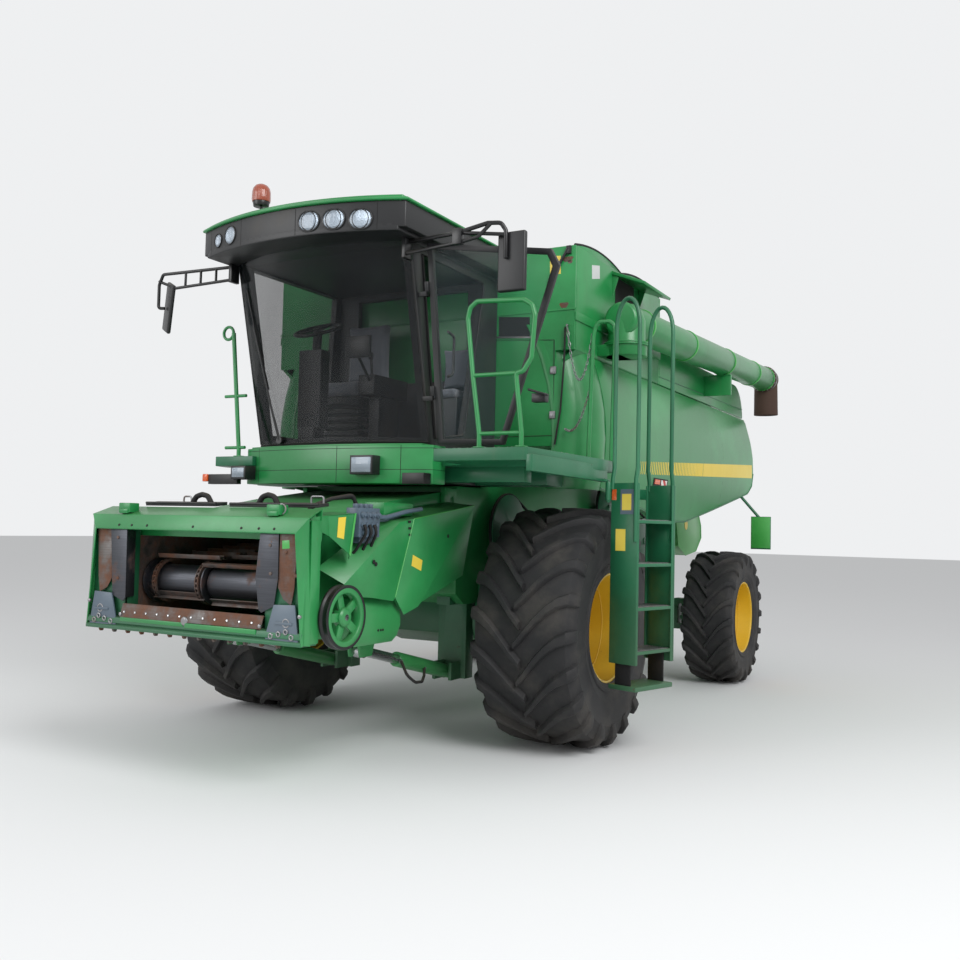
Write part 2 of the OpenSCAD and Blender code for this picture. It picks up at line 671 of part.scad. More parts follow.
// two short chains across the gap beside the tank; columns: from, to, sag
chain_runs = [[[tank_hw - 10, -90, 3120], [deck_edge + 12, -240, 3230], 300],
    [[tank_hw - 10, -90, 2820], [deck_edge + 12, -240, 2900], 300]];
module chain(c) {
    points = [for (t = [0 : 0.0625 : 1]) c[0] + (c[1] - c[0]) * t - [0, 0, c[2] * 4 * t * (1 - t)]];
    for (i = [0 : len(points) - 2]) flat_bar(points[i], points[i + 1], i % 2 == 0 ? 20 : 7, i % 2 == 0 ? 7 : 20);
}
module rail_chains() placed() color(steel) difference() {
    for (c = chain_runs) chain(c);
    side_hoop(0.6);
}

// unloading auger
module auger_turret() placed() color(green) {
    translate([auger_pivot[0], auger_pivot[1], turret_z - 100]) cylinder(h = 100, d = 380);
    box([tank_hw, auger_pivot[1] - 140, turret_z - 100], [auger_pivot[0], auger_pivot[1] + 140, turret_z - 2]);
    // saddle that the tube rests on
    box([tank_hw, 3500, 3180], [auger_pivot[0] + 95, 3540, saddle_z]);
}
module auger_tube() placed() color(green) {
    translate([auger_pivot[0], auger_pivot[1], turret_z + 0.3]) cylinder(h = 230, d = 376);
    translate([auger_pivot[0], auger_pivot[1], auger_z]) rotate([auger_rise - 90, 0, 0]) cylinder(h = auger_len, d = auger_d);
    translate([auger_pivot[0], auger_pivot[1], 3450]) sphere(d = 378);
}
module auger_spout() placed() color(black)
    translate([auger_pivot[0], auger_pivot[1], auger_z]) rotate([auger_rise - 90, 0, 0]) difference() {
        union() {
            translate([0, 0, auger_len + 0.3]) cylinder(h = 280, d = auger_d + 20);
            translate([0, 60, auger_len + 150]) rotate([-90, 0, 0]) cylinder(h = 500, d = 300);
        }
        translate([0, 120, auger_len + 150]) rotate([-90, 0, 0]) cylinder(h = 500, d = 270);
    }

// access ladder, turned about its upright hinge
// step columns: height
ladder_steps = [800, 1120, 1440, 1760];
ladder_top = 2032;
module ladder() placed() color(dark_green) translate([ladder_hinge[0], ladder_hinge[1], 0])
    rotate([0, 0, -ladder_turn]) {
        difference() {
            translate([0, 0, 1900]) cylinder(h = 138, d = 44);
            translate([0, 0, 1890]) cylinder(h = 160, d = 26.8);
        }
        for (y = [20, ladder_w - 12]) {
            box([12, y, 700], [ladder_depth, y + 12, ladder_top]);
        }
        for (z = ladder_steps) box([12, 20, z - 25], [ladder_depth, ladder_w, z]);
        box([-6, 21, 1920], [14, ladder_w, 2000]);
        for (y = [26, ladder_w - 6]) bent_bar([[24, y, 1990], [24, y, 3200], [130, y, 3390], [250, y, 3200], [250, y, 1500]], 30);
        // bottom step on rubber straps
        for (y = [34, ladder_w - 42]) box([60, y, 520], [200, y + 14, 776]);
        box([12, 20, 510], [ladder_depth, ladder_w, 545]);
    }

// curved side shields, each hung at its upper edge
shield_r = (pow(650, 2) + pow(shield_bulge, 2)) / (2 * shield_bulge);
shield_outline = [[shield_front, 2010], [2300, 1760], [2800, 1770], [3900, 1960], [5360, 2240],
    [shield_back, shield_hinge_z + 30], [shield_front, shield_hinge_z + 30]];
module side_shield() color(green) difference() {
    intersection() {
        difference() {
            translate([tank_hw + 20 + shield_bulge - shield_r, 0, 2420]) rotate([-90, 0, 0]) cylinder(h = 6000, r = shield_r, $fn = 128);
            translate([tank_hw + 20 + shield_bulge - shield_r, 0, 2420]) rotate([-90, 0, 0]) translate([0, 0, -1]) cylinder(h = 6002, r = shield_r - 25, $fn = 128);
        }
        side_plate(tank_hw - 200, tank_hw + 300, shield_outline);
    }
    translate([shield_pin[0], shield_front - 20, shield_pin[1]]) rotate([-90, 0, 0]) cylinder(h = 80, d = 10.8);
}
module side_shield_left() placed() side_shield();
module side_shield_right() placed() mirror([1, 0, 0]) side_shield();

// feeder

// trunk outline, columns Y and Z, floor and roof sloping down to the front
module feeder_house() placed() color(green) {
    paired() x_cyl(trunk_hw - 5, body_hw - 6, feeder_pivot[0], feeder_pivot[1], 60);
    paired() for (x = [lift_x - 52, lift_x + 38])
        side_plate(x, x + 14, [[-1640, 915], [-1600, 760], [-1460, 760], [-1380, 990]]);
    feeder_trunk();
}
module feeder_trunk() difference() {
    side_plate(-trunk_hw, trunk_hw, [[-2480, 960], [-1600, 900], [-625, 1290], [-500, 1830], [-620, 1950],
        [-1300, 1860], [-2480, 1660]]);
    side_plate(-mouth_w / 2, mouth_w / 2, [[-2500, 1000], [-1600, 950], [-660, 1320], [-480, 1320], [-480, 1790], [-2500, 1610]]);
}
// lock pin holes in the front plates, X and Z
lock_pin = [frame_hw - 117, 1085];
lock_pin_d = 40;
module feeder_frame() placed() color(green) difference() {
    union() {
        box([-frame_hw, -2640, 1560], [frame_hw, -2480.3, 1640]);
        box([-frame_hw, -2640, 950], [frame_hw, -2480.3, 1020]);
        paired() box([630, -2640, 950], [frame_hw, -2600, 1640]);
        paired() box([frame_hw - 40, -2640, 950], [frame_hw, -2480.3, 1640]);
    }
    paired() translate([lock_pin[0], -2590, lock_pin[1]]) rotate([90, 0, 0]) cylinder(h = 60, d = lock_pin_d);
}
module feeder_drum() placed() color(steel) {
    x_cyl(-mouth_w / 2, mouth_w / 2, -2330, 1270, 240);
    for (y = [-2300 : 160 : -1200]) box([-mouth_w / 2 + 10, y, 1468], [mouth_w / 2 - 10, y + 40, 1490]);
    for (x = [-400, 0, 400]) box([x - 20, -2330, 1476], [x + 20, -1160, 1500]);
    for (x = [-400, 0, 400]) x_cyl(x - 12, x + 12, -2330, 1270, 420);
}
module feeder_shields() placed() color(green) {
    side_plate(trunk_hw, trunk_hw + 260, [[-2060, 1180], [-1240, 1180], [-900, 1560], [-1050, 1700], [-2060, 1600]]);
    side_plate(trunk_hw, trunk_hw + 180, [[-1750, 820], [-1450, 760], [-1240, 1180.5], [-1750, 1180.5]]);
}
module feeder_pulley() placed() color(black) {
    difference() {
        x_cyl(930, 1000, -2290, 1110, 400);
        x_cyl(985, 1001, -2290, 1110, 320);
    }
    x_cyl(trunk_hw + 0.5, 1000, -2290, 1110, 60);
}

// lift cylinders, rear eyes on the frame, rod eyes on the feeder
lift_v = [0, lift_eye[0] - lift_base[0], lift_eye[1] - lift_base[1]];
lift_len = norm(lift_v);
rod_start = 400;
module along_lift() translate([0, lift_base[0], lift_base[1]])
    rotate([90 - atan2(lift_v[2], -lift_v[1]), 0, 0]) children();
module lift_barrels() placed() color(green) paired() translate([lift_x, 0, 0]) along_lift() {
    difference() {
        union() {
            translate([-40, 0, 0]) rotate([0, 90, 0]) cylinder(h = 80, d = 100);
            translate([0, 0, 30]) cylinder(h = 720, d = 110);
        }
        translate([-50, 0, 0]) rotate([0, 90, 0]) cylinder(h = 100, d = 50.8);
        translate([0, 0, 120]) cylinder(h = 700, d = 70.8);
    }
}
module lift_rods() placed() color(steel) paired() translate([lift_x, 0, 0]) along_lift() {
    translate([0, 0, rod_start]) cylinder(h = lift_len - rod_start - 40, d = 70);
    difference() {
        translate([-35, 0, lift_len]) rotate([0, 90, 0]) cylinder(h = 70, d = 100);
        translate([-50, 0, lift_len]) rotate([0, 90, 0]) cylinder(h = 100, d = 50);
    }
}

chassis_frame();
front_axle();
rear_axle();
threshing_body();
straw_chopper();
grain_tank();
tank_auger();
engine_block();
engine_deck();
screen_housing();
screen_drum();
cab_shell();
cab_roof();
roof_fascia();
cab_glass();
operator_seat();
buddy_seat();
seat_bases();
cab_controls();
platforms();
guard_rails();
mirrors();
lamps();
beacon();
tank_flaps();
tank_cover_front();
tank_cover_rear();
drive_pulleys();
drive_belts();
lamp_boards();
rail_chains();
exhaust();
fuel_tank();
rear_ladder();
auger_turret();
auger_tube();
auger_spout();
cab_door();
cab_door_glass();
ladder();
side_shield_left();
side_shield_right();
feeder_house();
feeder_frame();
feeder_drum();
feeder_shields();
feeder_pulley();
lift_barrels();
lift_rods();
tyre_front_left();
tyre_front_right();
tyre_rear_left();
tyre_rear_right();
rim_front_left();
rim_front_right();
rim_rear_left();
rim_rear_right();
knuckle_left();
knuckle_right();
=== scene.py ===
"""Looks of a grain harvester without its header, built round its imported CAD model.

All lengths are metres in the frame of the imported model: the machine faces -Y, its left
side is +X and Z is up. Places taken from the part's source are measured there from the
front axle, and at() brings them into this frame.
"""

from __future__ import annotations

import json
import logging
import math
from dataclasses import dataclass, field
from enum import Enum
from typing import Sequence

import bmesh
import bpy
from mathutils import Matrix, Vector

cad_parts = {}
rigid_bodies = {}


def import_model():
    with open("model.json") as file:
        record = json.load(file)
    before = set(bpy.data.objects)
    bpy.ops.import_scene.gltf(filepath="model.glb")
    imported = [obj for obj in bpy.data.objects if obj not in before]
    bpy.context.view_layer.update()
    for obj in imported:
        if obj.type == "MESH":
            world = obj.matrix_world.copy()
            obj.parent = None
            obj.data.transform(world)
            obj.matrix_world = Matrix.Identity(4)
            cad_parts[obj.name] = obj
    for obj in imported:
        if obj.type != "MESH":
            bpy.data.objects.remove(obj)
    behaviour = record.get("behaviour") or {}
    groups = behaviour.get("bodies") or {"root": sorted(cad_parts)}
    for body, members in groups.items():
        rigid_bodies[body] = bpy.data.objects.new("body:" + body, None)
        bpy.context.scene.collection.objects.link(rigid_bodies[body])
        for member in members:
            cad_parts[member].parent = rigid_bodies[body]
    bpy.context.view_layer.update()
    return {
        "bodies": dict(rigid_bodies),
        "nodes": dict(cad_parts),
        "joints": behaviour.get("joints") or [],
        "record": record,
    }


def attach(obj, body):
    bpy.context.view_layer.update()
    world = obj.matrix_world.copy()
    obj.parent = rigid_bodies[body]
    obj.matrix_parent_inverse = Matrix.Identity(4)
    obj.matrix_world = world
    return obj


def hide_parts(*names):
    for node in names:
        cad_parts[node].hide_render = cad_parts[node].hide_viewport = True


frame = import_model()

log = logging.getLogger("harvester")
Point = Sequence[float]
AXLE = Vector((-0.17, -1.53, 0.0))


def at(x: float, y: float, z: float) -> Vector:
    """Returns the place in the frame of a point measured in metres from the front axle."""
    return AXLE + Vector((x, y, z))


def linear(red: int, green: int, blue: int) -> tuple[float, float, float, float]:
    """Turns a colour given as 0 to 255 into the linear values a shader takes.

    Args:
        red: red share.
        green: green share.
        blue: blue share.

    Returns:
        Linear red, green, blue and full alpha.
    """
    def one(value: int) -> float:
        """Returns one share as a linear value."""
        share = value / 255
        return share / 12.92 if share <= 0.04045 else ((share + 0.055) / 1.055) ** 2.4

    return one(red), one(green), one(blue), 1.0


# shader and geometry graphs


@dataclass
class Value:
    """An output socket that can be written in sums."""

    graph: "Graph"
    socket: bpy.types.NodeSocket

    def _math(self, operation: str, *terms: "Value | float") -> "Value":
        """Returns the result of a Math node on the terms."""
        return self.graph.add("ShaderNodeMath", {"operation": operation}, dict(enumerate(terms)))

    def __add__(self, other: "Value | float") -> "Value":
        """Returns self + other."""
        return self._math("ADD", self, other)

    def __radd__(self, other: float) -> "Value":
        """Returns other + self."""
        return self._math("ADD", other, self)

    def __sub__(self, other: "Value | float") -> "Value":
        """Returns self - other."""
        return self._math("SUBTRACT", self, other)

    def __rsub__(self, other: float) -> "Value":
        """Returns other - self."""
        return self._math("SUBTRACT", other, self)

    def __mul__(self, other: "Value | float") -> "Value":
        """Returns self * other."""
        return self._math("MULTIPLY", self, other)

    def __rmul__(self, other: float) -> "Value":
        """Returns other * self."""
        return self._math("MULTIPLY", other, self)

    def __truediv__(self, other: "Value | float") -> "Value":
        """Returns self / other."""
        return self._math("DIVIDE", self, other)

    def __rtruediv__(self, other: float) -> "Value":
        """Returns other / self."""
        return self._math("DIVIDE", other, self)

    def __pow__(self, other: "Value | float") -> "Value":
        """Returns self to a power."""
        return self._math("POWER", self, other)

    def over(self, limit: float) -> "Value":
        """Returns 1 where the value is above a limit and 0 elsewhere."""
        return self._math("GREATER_THAN", self, limit)

    def at_most(self, other: "Value | float") -> "Value":
        """Returns the smaller of self and other."""
        return self._math("MINIMUM", self, other)

    def at_least(self, other: "Value | float") -> "Value":
        """Returns the larger of self and other."""
        return self._math("MAXIMUM", self, other)

    def ramp(self, low: float, high: float) -> "Value":
        """Returns 0 below low, 1 above high and a smooth rise between them."""
        return self.graph.add("ShaderNodeMapRange", {"interpolation_type": "SMOOTHSTEP"},
                              {0: self, 1: low, 2: high})


@dataclass
class Graph:
    """A node tree with one way to add any node."""

    tree: bpy.types.NodeTree

    def put(self, kind: str, settings: dict | None = None,
            inputs: dict | None = None) -> bpy.types.Node:
        """Adds a node, sets its settings and then fills or links its inputs.

        Args:
            kind: the node's type.
            settings: properties of the node, or "stops" for a colour ramp.
            inputs: values or Value links by socket name or number.

        Returns:
            The new node.
        """
        node = self.tree.nodes.new(kind)
        for name, value in (settings or {}).items():
            if name == "stops":
                elements = node.color_ramp.elements
                while len(elements) < len(value):
                    elements.new(0.5)
                for element, (place, colour) in zip(elements, value):
                    element.position, element.color = place, colour
            else:
                setattr(node, name, value)
        for key, value in (inputs or {}).items():
            if isinstance(value, Value):
                self.tree.links.new(value.socket, node.inputs[key])
            else:
                node.inputs[key].default_value = value
        return node

    def add(self, kind: str, settings: dict | None = None, inputs: dict | None = None,
            out: int | str = 0) -> Value:
        """Adds a node and returns one of its outputs as a Value."""
        return Value(self, self.put(kind, settings, inputs).outputs[out])

    def mix(self, share: Value | float, first: Value | Point, second: Value | Point,
            way: str = "MIX") -> Value:
        """Returns a mix of two colours.

        Args:
            share: how much of the second colour shows.
            first: the colour at share 0.
            second: the colour at share 1.
            way: the Mix node's blend type.

        Returns:
            The mixed colour.
        """
        return self.add("ShaderNodeMix", {"data_type": "RGBA", "blend_type": way},
                        {0: share, 6: first, 7: second}, 2)

    def place(self) -> Value:
        """Returns the object coordinates."""
        return self.add("ShaderNodeTexCoord", out="Object")

    def axis(self, name: str) -> Value:
        """Returns one object coordinate, X, Y or Z."""
        return self.add("ShaderNodeSeparateXYZ", None, {0: self.place()}, name)

    def noise(self, scale: float, detail: float = 4.0, rough: float = 0.55,
              stretch: Point = (1, 1, 1), shift: Point = (0, 0, 0)) -> Value:
        """Returns a noise pattern fixed to the object.

        Args:
            scale: waves per metre.
            detail: octaves.
            rough: share of the finer octaves.
            stretch: scale along each axis.
            shift: offset that makes two patterns differ.

        Returns:
            The pattern, near 0.5 on average.
        """
        spot = self.add("ShaderNodeMapping", None, {0: self.place(), 1: shift, 3: stretch})
        return self.add("ShaderNodeTexNoise", None,
                        {"Vector": spot, "Scale": scale, "Detail": detail, "Roughness": rough})

    def facing_up(self) -> Value:
        """Returns how much a face looks up, from 0 to 1."""
        normal = self.add("ShaderNodeNewGeometry", out="Normal")
        return self.add("ShaderNodeSeparateXYZ", None, {0: normal}, "Z").at_least(0.0)

    def bump(self, height: Value, depth: float, strength: float = 1.0) -> Value:
        """Returns a normal bent by a height pattern of some depth in metres."""
        return self.add("ShaderNodeBump", None,
                        {"Strength": strength, "Distance": depth, "Height": height})


@dataclass(frozen=True)
class Finish:
    """A surface finish, which makes its material once."""

    name: str
    slot: str

    def material(self) -> bpy.types.Material:
        """Returns this finish's material, made on first use."""
        made = bpy.data.materials.get(self.name)
        if made is None:
            made = bpy.data.materials.new(self.name)
            made.use_nodes = True
            made.node_tree.nodes.clear()
            graph = Graph(made.node_tree)
            shader = self.shader(graph)
            graph.put("ShaderNodeOutputMaterial", None, {0: shader})
        return made

    def shader(self, graph: Graph) -> Value:
        """Builds the nodes and returns the surface shader."""
        raise NotImplementedError

    @staticmethod
    def surface(graph: Graph, **sockets: Value | float | Point) -> Value:
        """Returns a Principled shader with sockets named with _ for each space."""
        return graph.add("ShaderNodeBsdfPrincipled", None,
                         {key.replace("_", " "): value for key, value in sockets.items()})


GRIME = linear(112, 100, 82)
RUST = linear(112, 62, 34)
SOOT = linear(22, 21, 20)


@dataclass(frozen=True)
class Paint(Finish):
    """Sprayed enamel with dust, faded patches, run-off streaks and worn spots."""

    colour: tuple[float, float, float, float] = (0.1, 0.3, 0.1, 1.0)
    faded: tuple[float, float, float, float] = (0.2, 0.4, 0.2, 1.0)
    gloss: float = 0.34
    dust: float = 0.3
    wear: float = 0.5

    def shader(self, graph: Graph) -> Value:
        """Builds the nodes and returns the surface shader."""
        patches = graph.noise(0.9, 5, 0.6)
        fine = graph.noise(38, 6, 0.65, shift=(3, 1, 7))
        streaks = graph.noise(1, 6, 0.7, stretch=(9, 9, 0.7), shift=(5, 2, 0))
        paint = graph.mix(patches.ramp(0.38, 0.72), self.colour, self.faded)
        paint = graph.mix((fine - 0.5) * 0.35 + 0.12, paint, self.faded)
        settled = graph.facing_up() ** 2.0 * (0.45 + fine * 0.5)
        low = (1.0 - graph.axis("Z").ramp(0.15, 1.7)) * (0.25 + fine * 0.6)
        runs = streaks.ramp(0.52, 0.78) * 0.35
        grime = (settled.at_least(low).at_least(runs) * self.dust).at_most(0.85)
        dirty = graph.mix(grime, paint, GRIME)
        spots = graph.noise(13, 8, 0.72, shift=(9, 4, 2)).ramp(0.66, 0.72) * self.wear
        scuffs = graph.noise(3, 7, 0.8, stretch=(1, 2.2, 7), shift=(1, 8, 3)).ramp(0.66, 0.74)
        worn = (spots + scuffs * 0.5 * self.wear).at_most(1.0)
        colour = graph.mix(worn, dirty, graph.mix(fine.ramp(0.4, 0.6), SOOT, RUST))
        rough = (self.gloss + grime * 0.45 + worn * 0.3 + (fine - 0.5) * 0.12).at_most(0.95)
        relief = fine * 0.5 - worn * 0.6
        return self.surface(graph, Base_Color=colour, Roughness=rough, Coat_Weight=0.18,
                            Coat_Roughness=0.2, Normal=graph.bump(relief, 0.0012, 0.35))


@dataclass(frozen=True)
class Plastic(Finish):
    """Moulded plastic or painted steel in one dark tone with grain and dust."""

    colour: tuple[float, float, float, float] = (0.02, 0.02, 0.02, 1.0)
    gloss: float = 0.5
    dust: float = 0.25

    def shader(self, graph: Graph) -> Value:
        """Builds the nodes and returns the surface shader."""
        grain = graph.noise(420, 3, 0.6)
        cloud = graph.noise(2.4, 6, 0.6, shift=(4, 4, 4))
        settled = graph.facing_up() ** 2.0 * 0.8 + cloud.ramp(0.5, 0.8) * 0.4
        colour = graph.mix((settled * self.dust).at_most(0.8), self.colour, GRIME)
        rough = (self.gloss + settled * self.dust * 0.5 + (grain - 0.5) * 0.1).at_most(0.95)
        return self.surface(graph, Base_Color=colour, Roughness=rough,
                            Normal=graph.bump(grain, 0.0006, 0.4))


@dataclass(frozen=True)
class Rubber(Finish):
    """Tyre rubber, black in the grooves with pale road dust rubbed into the tread."""

    dust: float = 0.5

    def shader(self, graph: Graph) -> Value:
        """Builds the nodes and returns the surface shader."""
        fine = graph.noise(90, 6, 0.7)
        cloud = graph.noise(3.1, 6, 0.62, shift=(2, 6, 1))
        low = 1.0 - graph.axis("Z").ramp(0.0, 0.55)
        dirt = (cloud.ramp(0.42, 0.75) * (0.35 + fine * 0.6) + low * 0.25) * self.dust
        black = graph.mix(cloud, linear(20, 20, 22), linear(38, 38, 40))
        colour = graph.mix(dirt.at_most(0.7), black, linear(104, 98, 90))
        return self.surface(graph, Base_Color=colour, Roughness=(0.72 + dirt * 0.25).at_most(0.97),
                            Normal=graph.bump(fine, 0.003, 0.5))


@dataclass(frozen=True)
class Steel(Finish):
    """Bare steel, from bright and rubbed to brown with rust."""

    colour: tuple[float, float, float, float] = (0.3, 0.3, 0.31, 1.0)
    rust: float = 0.35
    gloss: float = 0.38

    def shader(self, graph: Graph) -> Value:
        """Builds the nodes and returns the surface shader."""
        lines = graph.noise(2, 5, 0.6, stretch=(1.5, 30, 60))
        cloud = graph.noise(5, 8, 0.68, shift=(7, 3, 5))
        rust = cloud.ramp(0.62 - 0.35 * self.rust, 0.8 - 0.25 * self.rust)
        metal = graph.mix(lines, self.colour, tuple(0.55 * c for c in self.colour[:3]) + (1.0,))
        brown = graph.mix(graph.noise(40, 5, 0.7), linear(74, 46, 32), linear(126, 78, 48))
        colour = graph.mix(rust * 0.85, metal, brown)
        rough = (self.gloss + (lines - 0.5) * 0.25 + rust * 0.4).at_most(0.95)
        return self.surface(graph, Base_Color=colour, Metallic=0.92 - rust * 0.85, Roughness=rough,
                            Normal=graph.bump(lines + rust * 0.8, 0.0012, 0.5))


@dataclass(frozen=True)
class Glass(Finish):
    """Thin pane, tinted or clear, with a film of dust."""

    colour: tuple[float, float, float, float] = (0.02, 0.03, 0.035, 1.0)
    cover: float = 0.6
    dust: float = 0.1

    def shader(self, graph: Graph) -> Value:
        """Builds the nodes and returns the surface shader."""
        film = graph.noise(1.6, 6, 0.65, stretch=(1, 1, 0.5)).ramp(0.4, 0.85) * self.dust
        colour = graph.mix(film, self.colour, linear(190, 196, 198))
        return self.surface(graph, Base_Color=colour, Roughness=0.04 + film * 0.5,
                            Alpha=(self.cover + film * 0.6).at_most(1.0), IOR=1.5)


@dataclass(frozen=True)
class Lens(Finish):
    """Ribbed lamp glass or reflector with a cell pattern under a clear face and a faint painted
    glow.
    """

    colour: tuple[float, float, float, float] = (0.7, 0.72, 0.75, 1.0)
    cells: float = 90.0
    shine: float = 0.25

    def shader(self, graph: Graph) -> Value:
        """Builds the nodes and returns the surface shader."""
        ribs = graph.add("ShaderNodeTexWave", {"bands_direction": "X"},
                         {"Vector": graph.place(), "Scale": self.cells, "Distortion": 0.4})
        colour = graph.mix(ribs * 0.35, self.colour,
                           tuple(0.45 * c for c in self.colour[:3]) + (1.0,))
        # painted glow: the face gives off a faint light of its own colour, lamp or not
        painted_glow = graph.mix(1.0, (0, 0, 0, 1), colour)
        return self.surface(graph, Base_Color=colour, Roughness=0.12, Metallic=self.shine,
                            Emission_Color=painted_glow, Emission_Strength=0.06,
                            Normal=graph.bump(ribs, 0.002, 0.6), Coat_Weight=0.8)


@dataclass(frozen=True)
class Cloth(Finish):
    """Woven seat cover with crossing threads and rubbed patches."""

    colour: tuple[float, float, float, float] = (0.1, 0.1, 0.11, 1.0)
    thread: float = 260.0

    def shader(self, graph: Graph) -> Value:
        """Builds the nodes and returns the surface shader."""
        waves = [graph.add("ShaderNodeTexWave", {"bands_direction": way},
                           {"Vector": graph.place(), "Scale": self.thread, "Distortion": 1.5})
                 for way in ("X", "Y", "Z")]
        weave = (waves[0] * waves[1]).at_least(waves[1] * waves[2]).at_least(waves[0] * waves[2])
        worn = graph.noise(7, 5, 0.6).ramp(0.4, 0.75)
        pale = tuple(min(1.0, 1.9 * c) for c in self.colour[:3]) + (1.0,)
        colour = graph.mix(weave * 0.45 + worn * 0.3, self.colour, pale)
        return self.surface(graph, Base_Color=colour, Roughness=0.92, Sheen_Weight=0.35,
                            Normal=graph.bump(weave, 0.0012, 0.6))


@dataclass(frozen=True)
class Striped(Finish):
    """Two colours in slanting bands, for a marker board."""

    first: tuple[float, float, float, float] = (0.6, 0.05, 0.03, 1.0)
    second: tuple[float, float, float, float] = (0.8, 0.8, 0.8, 1.0)
    bands: float = 7.0

    def shader(self, graph: Graph) -> Value:
        """Builds the nodes and returns the surface shader."""
        slope = (graph.axis("X") + graph.axis("Y") + graph.axis("Z")) * self.bands
        side = graph.add("ShaderNodeMath", {"operation": "FRACT"}, {0: slope}).over(0.5)
        dirt = graph.noise(9, 6, 0.7).ramp(0.5, 0.8) * 0.4
        colour = graph.mix(dirt, graph.mix(side, self.first, self.second), GRIME)
        return self.surface(graph, Base_Color=colour, Roughness=0.35 + dirt * 0.4)


class Tone(Enum):
    """The finishes of the machine."""

    GREEN = Paint("enamel_green", "green_paint", linear(22, 118, 58), linear(44, 146, 80),
                  0.33, 0.34, 0.35)
    DEEP = Paint("enamel_deep_green", "dark_green_paint", linear(16, 88, 56), linear(30, 108, 72),
                 0.42, 0.42, 0.6)
    FRESH = Paint("enamel_fresh_green", "bright_green_paint", linear(58, 158, 66),
                  linear(84, 178, 90), 0.36, 0.3, 0.3)
    YELLOW = Paint("enamel_yellow", "yellow_paint", linear(232, 186, 20), linear(240, 202, 62),
                   0.38, 0.35, 0.3)
    LABEL = Paint("blank_label_yellow", "yellow_paint", linear(226, 196, 40), linear(236, 212, 90),
                  0.45, 0.25, 0.1)
    BLACK = Plastic("black_moulding", "black_plastic", linear(24, 25, 27), 0.42, 0.28)
    SATIN = Plastic("black_frame_paint", "black_plastic", linear(18, 19, 21), 0.3, 0.18)
    SEAL = Plastic("black_rubber_strip", "black_rubber", linear(16, 16, 17), 0.75, 0.3)
    BROWN = Plastic("brown_rubber_spout", "black_rubber", linear(70, 50, 40), 0.8, 0.45)
    TYRE = Rubber("tyre_rubber_dusty", "tyre_rubber", 0.42)
    STEEL = Steel("rubbed_steel", "worn_steel", linear(168, 168, 170), 0.3, 0.36)
    WORN = Steel("dark_worn_steel", "worn_steel", linear(92, 94, 100), 0.3, 0.45)
    RUSTY = Steel("rusty_steel", "worn_steel", linear(122, 118, 116), 0.75, 0.5)
    BRIGHT = Steel("bright_rod", "chrome_rod", linear(205, 206, 208), 0.0, 0.14)
    IRON = Steel("engine_casting", "engine_iron", linear(96, 98, 100), 0.5, 0.55)
    TINTED = Glass("windscreen_glass", "tinted_glass", linear(10, 16, 20), 0.28, 0.05)
    CLEAR = Glass("door_glass", "clear_glass", linear(120, 140, 146), 0.04, 0.05)
    MIRROR = Steel("mirror_face", "lamp_glass", linear(214, 220, 224), 0.0, 0.04)
    LAMP = Lens("lamp_lens", "lamp_glass", linear(150, 162, 174), 60.0, 0.55)
    AMBER = Lens("amber_lens", "orange_plastic", linear(226, 92, 22), 70.0, 0.0)
    BEACON = Lens("beacon_dome_orange", "orange_plastic", linear(158, 66, 32), 50.0, 0.0)
    RED = Lens("red_lens", "orange_plastic", linear(170, 22, 18), 90.0, 0.0)
    SEAT = Cloth("seat_cloth_weave", "seat_cloth", linear(118, 122, 130))
    SEAT_DARK = Cloth("seat_cloth_dark", "seat_cloth", linear(92, 96, 104))
    BOARD = Striped("marker_board_stripes", "orange_plastic", linear(196, 34, 26),
                    linear(226, 226, 222))
    BLUE_GREY = Paint("blue_grey_casting", "worn_steel", linear(70, 88, 104), linear(92, 108, 122),
                      0.45, 0.4, 0.4)
    WHITE = Plastic("pale_plate", "lamp_glass", linear(196, 200, 198), 0.4, 0.2)


GREEN, DEEP, FRESH, YELLOW, BLACK = Tone.GREEN, Tone.DEEP, Tone.FRESH, Tone.YELLOW, Tone.BLACK


# making meshes


def settle(obj: bpy.types.Object) -> bpy.types.Object:
    """Applies an object's modifiers to its mesh and returns the object."""
    bpy.context.view_layer.update()
    ready = obj.evaluated_get(bpy.context.evaluated_depsgraph_get())
    mesh = bpy.data.meshes.new_from_object(ready)
    obj.modifiers.clear()
    obj.data = mesh
    return obj


def soften(obj: bpy.types.Object, edge: float, segments: int = 2,
           angle: float = 32) -> bpy.types.Object:
    """Rounds an object's sharp edges and shades it smooth across the flat ones.

    Args:
        obj: the object, with a closed mesh.
        edge: width of the rounding in metres, or 0 for none.
        segments: faces across a rounded edge.
        angle: least angle of an edge that is rounded, in degrees.

    Returns:
        The same object.
    """
    if edge > 0:
        bevel = obj.modifiers.new("edges", "BEVEL")
        bevel.width, bevel.segments = edge, segments
        bevel.limit_method, bevel.angle_limit = "ANGLE", math.radians(angle)
        bevel.harden_normals = False
        settle(obj)
    obj.data.shade_smooth()
    obj.data.set_sharp_from_angle(angle=math.radians(angle + 6))
    return obj


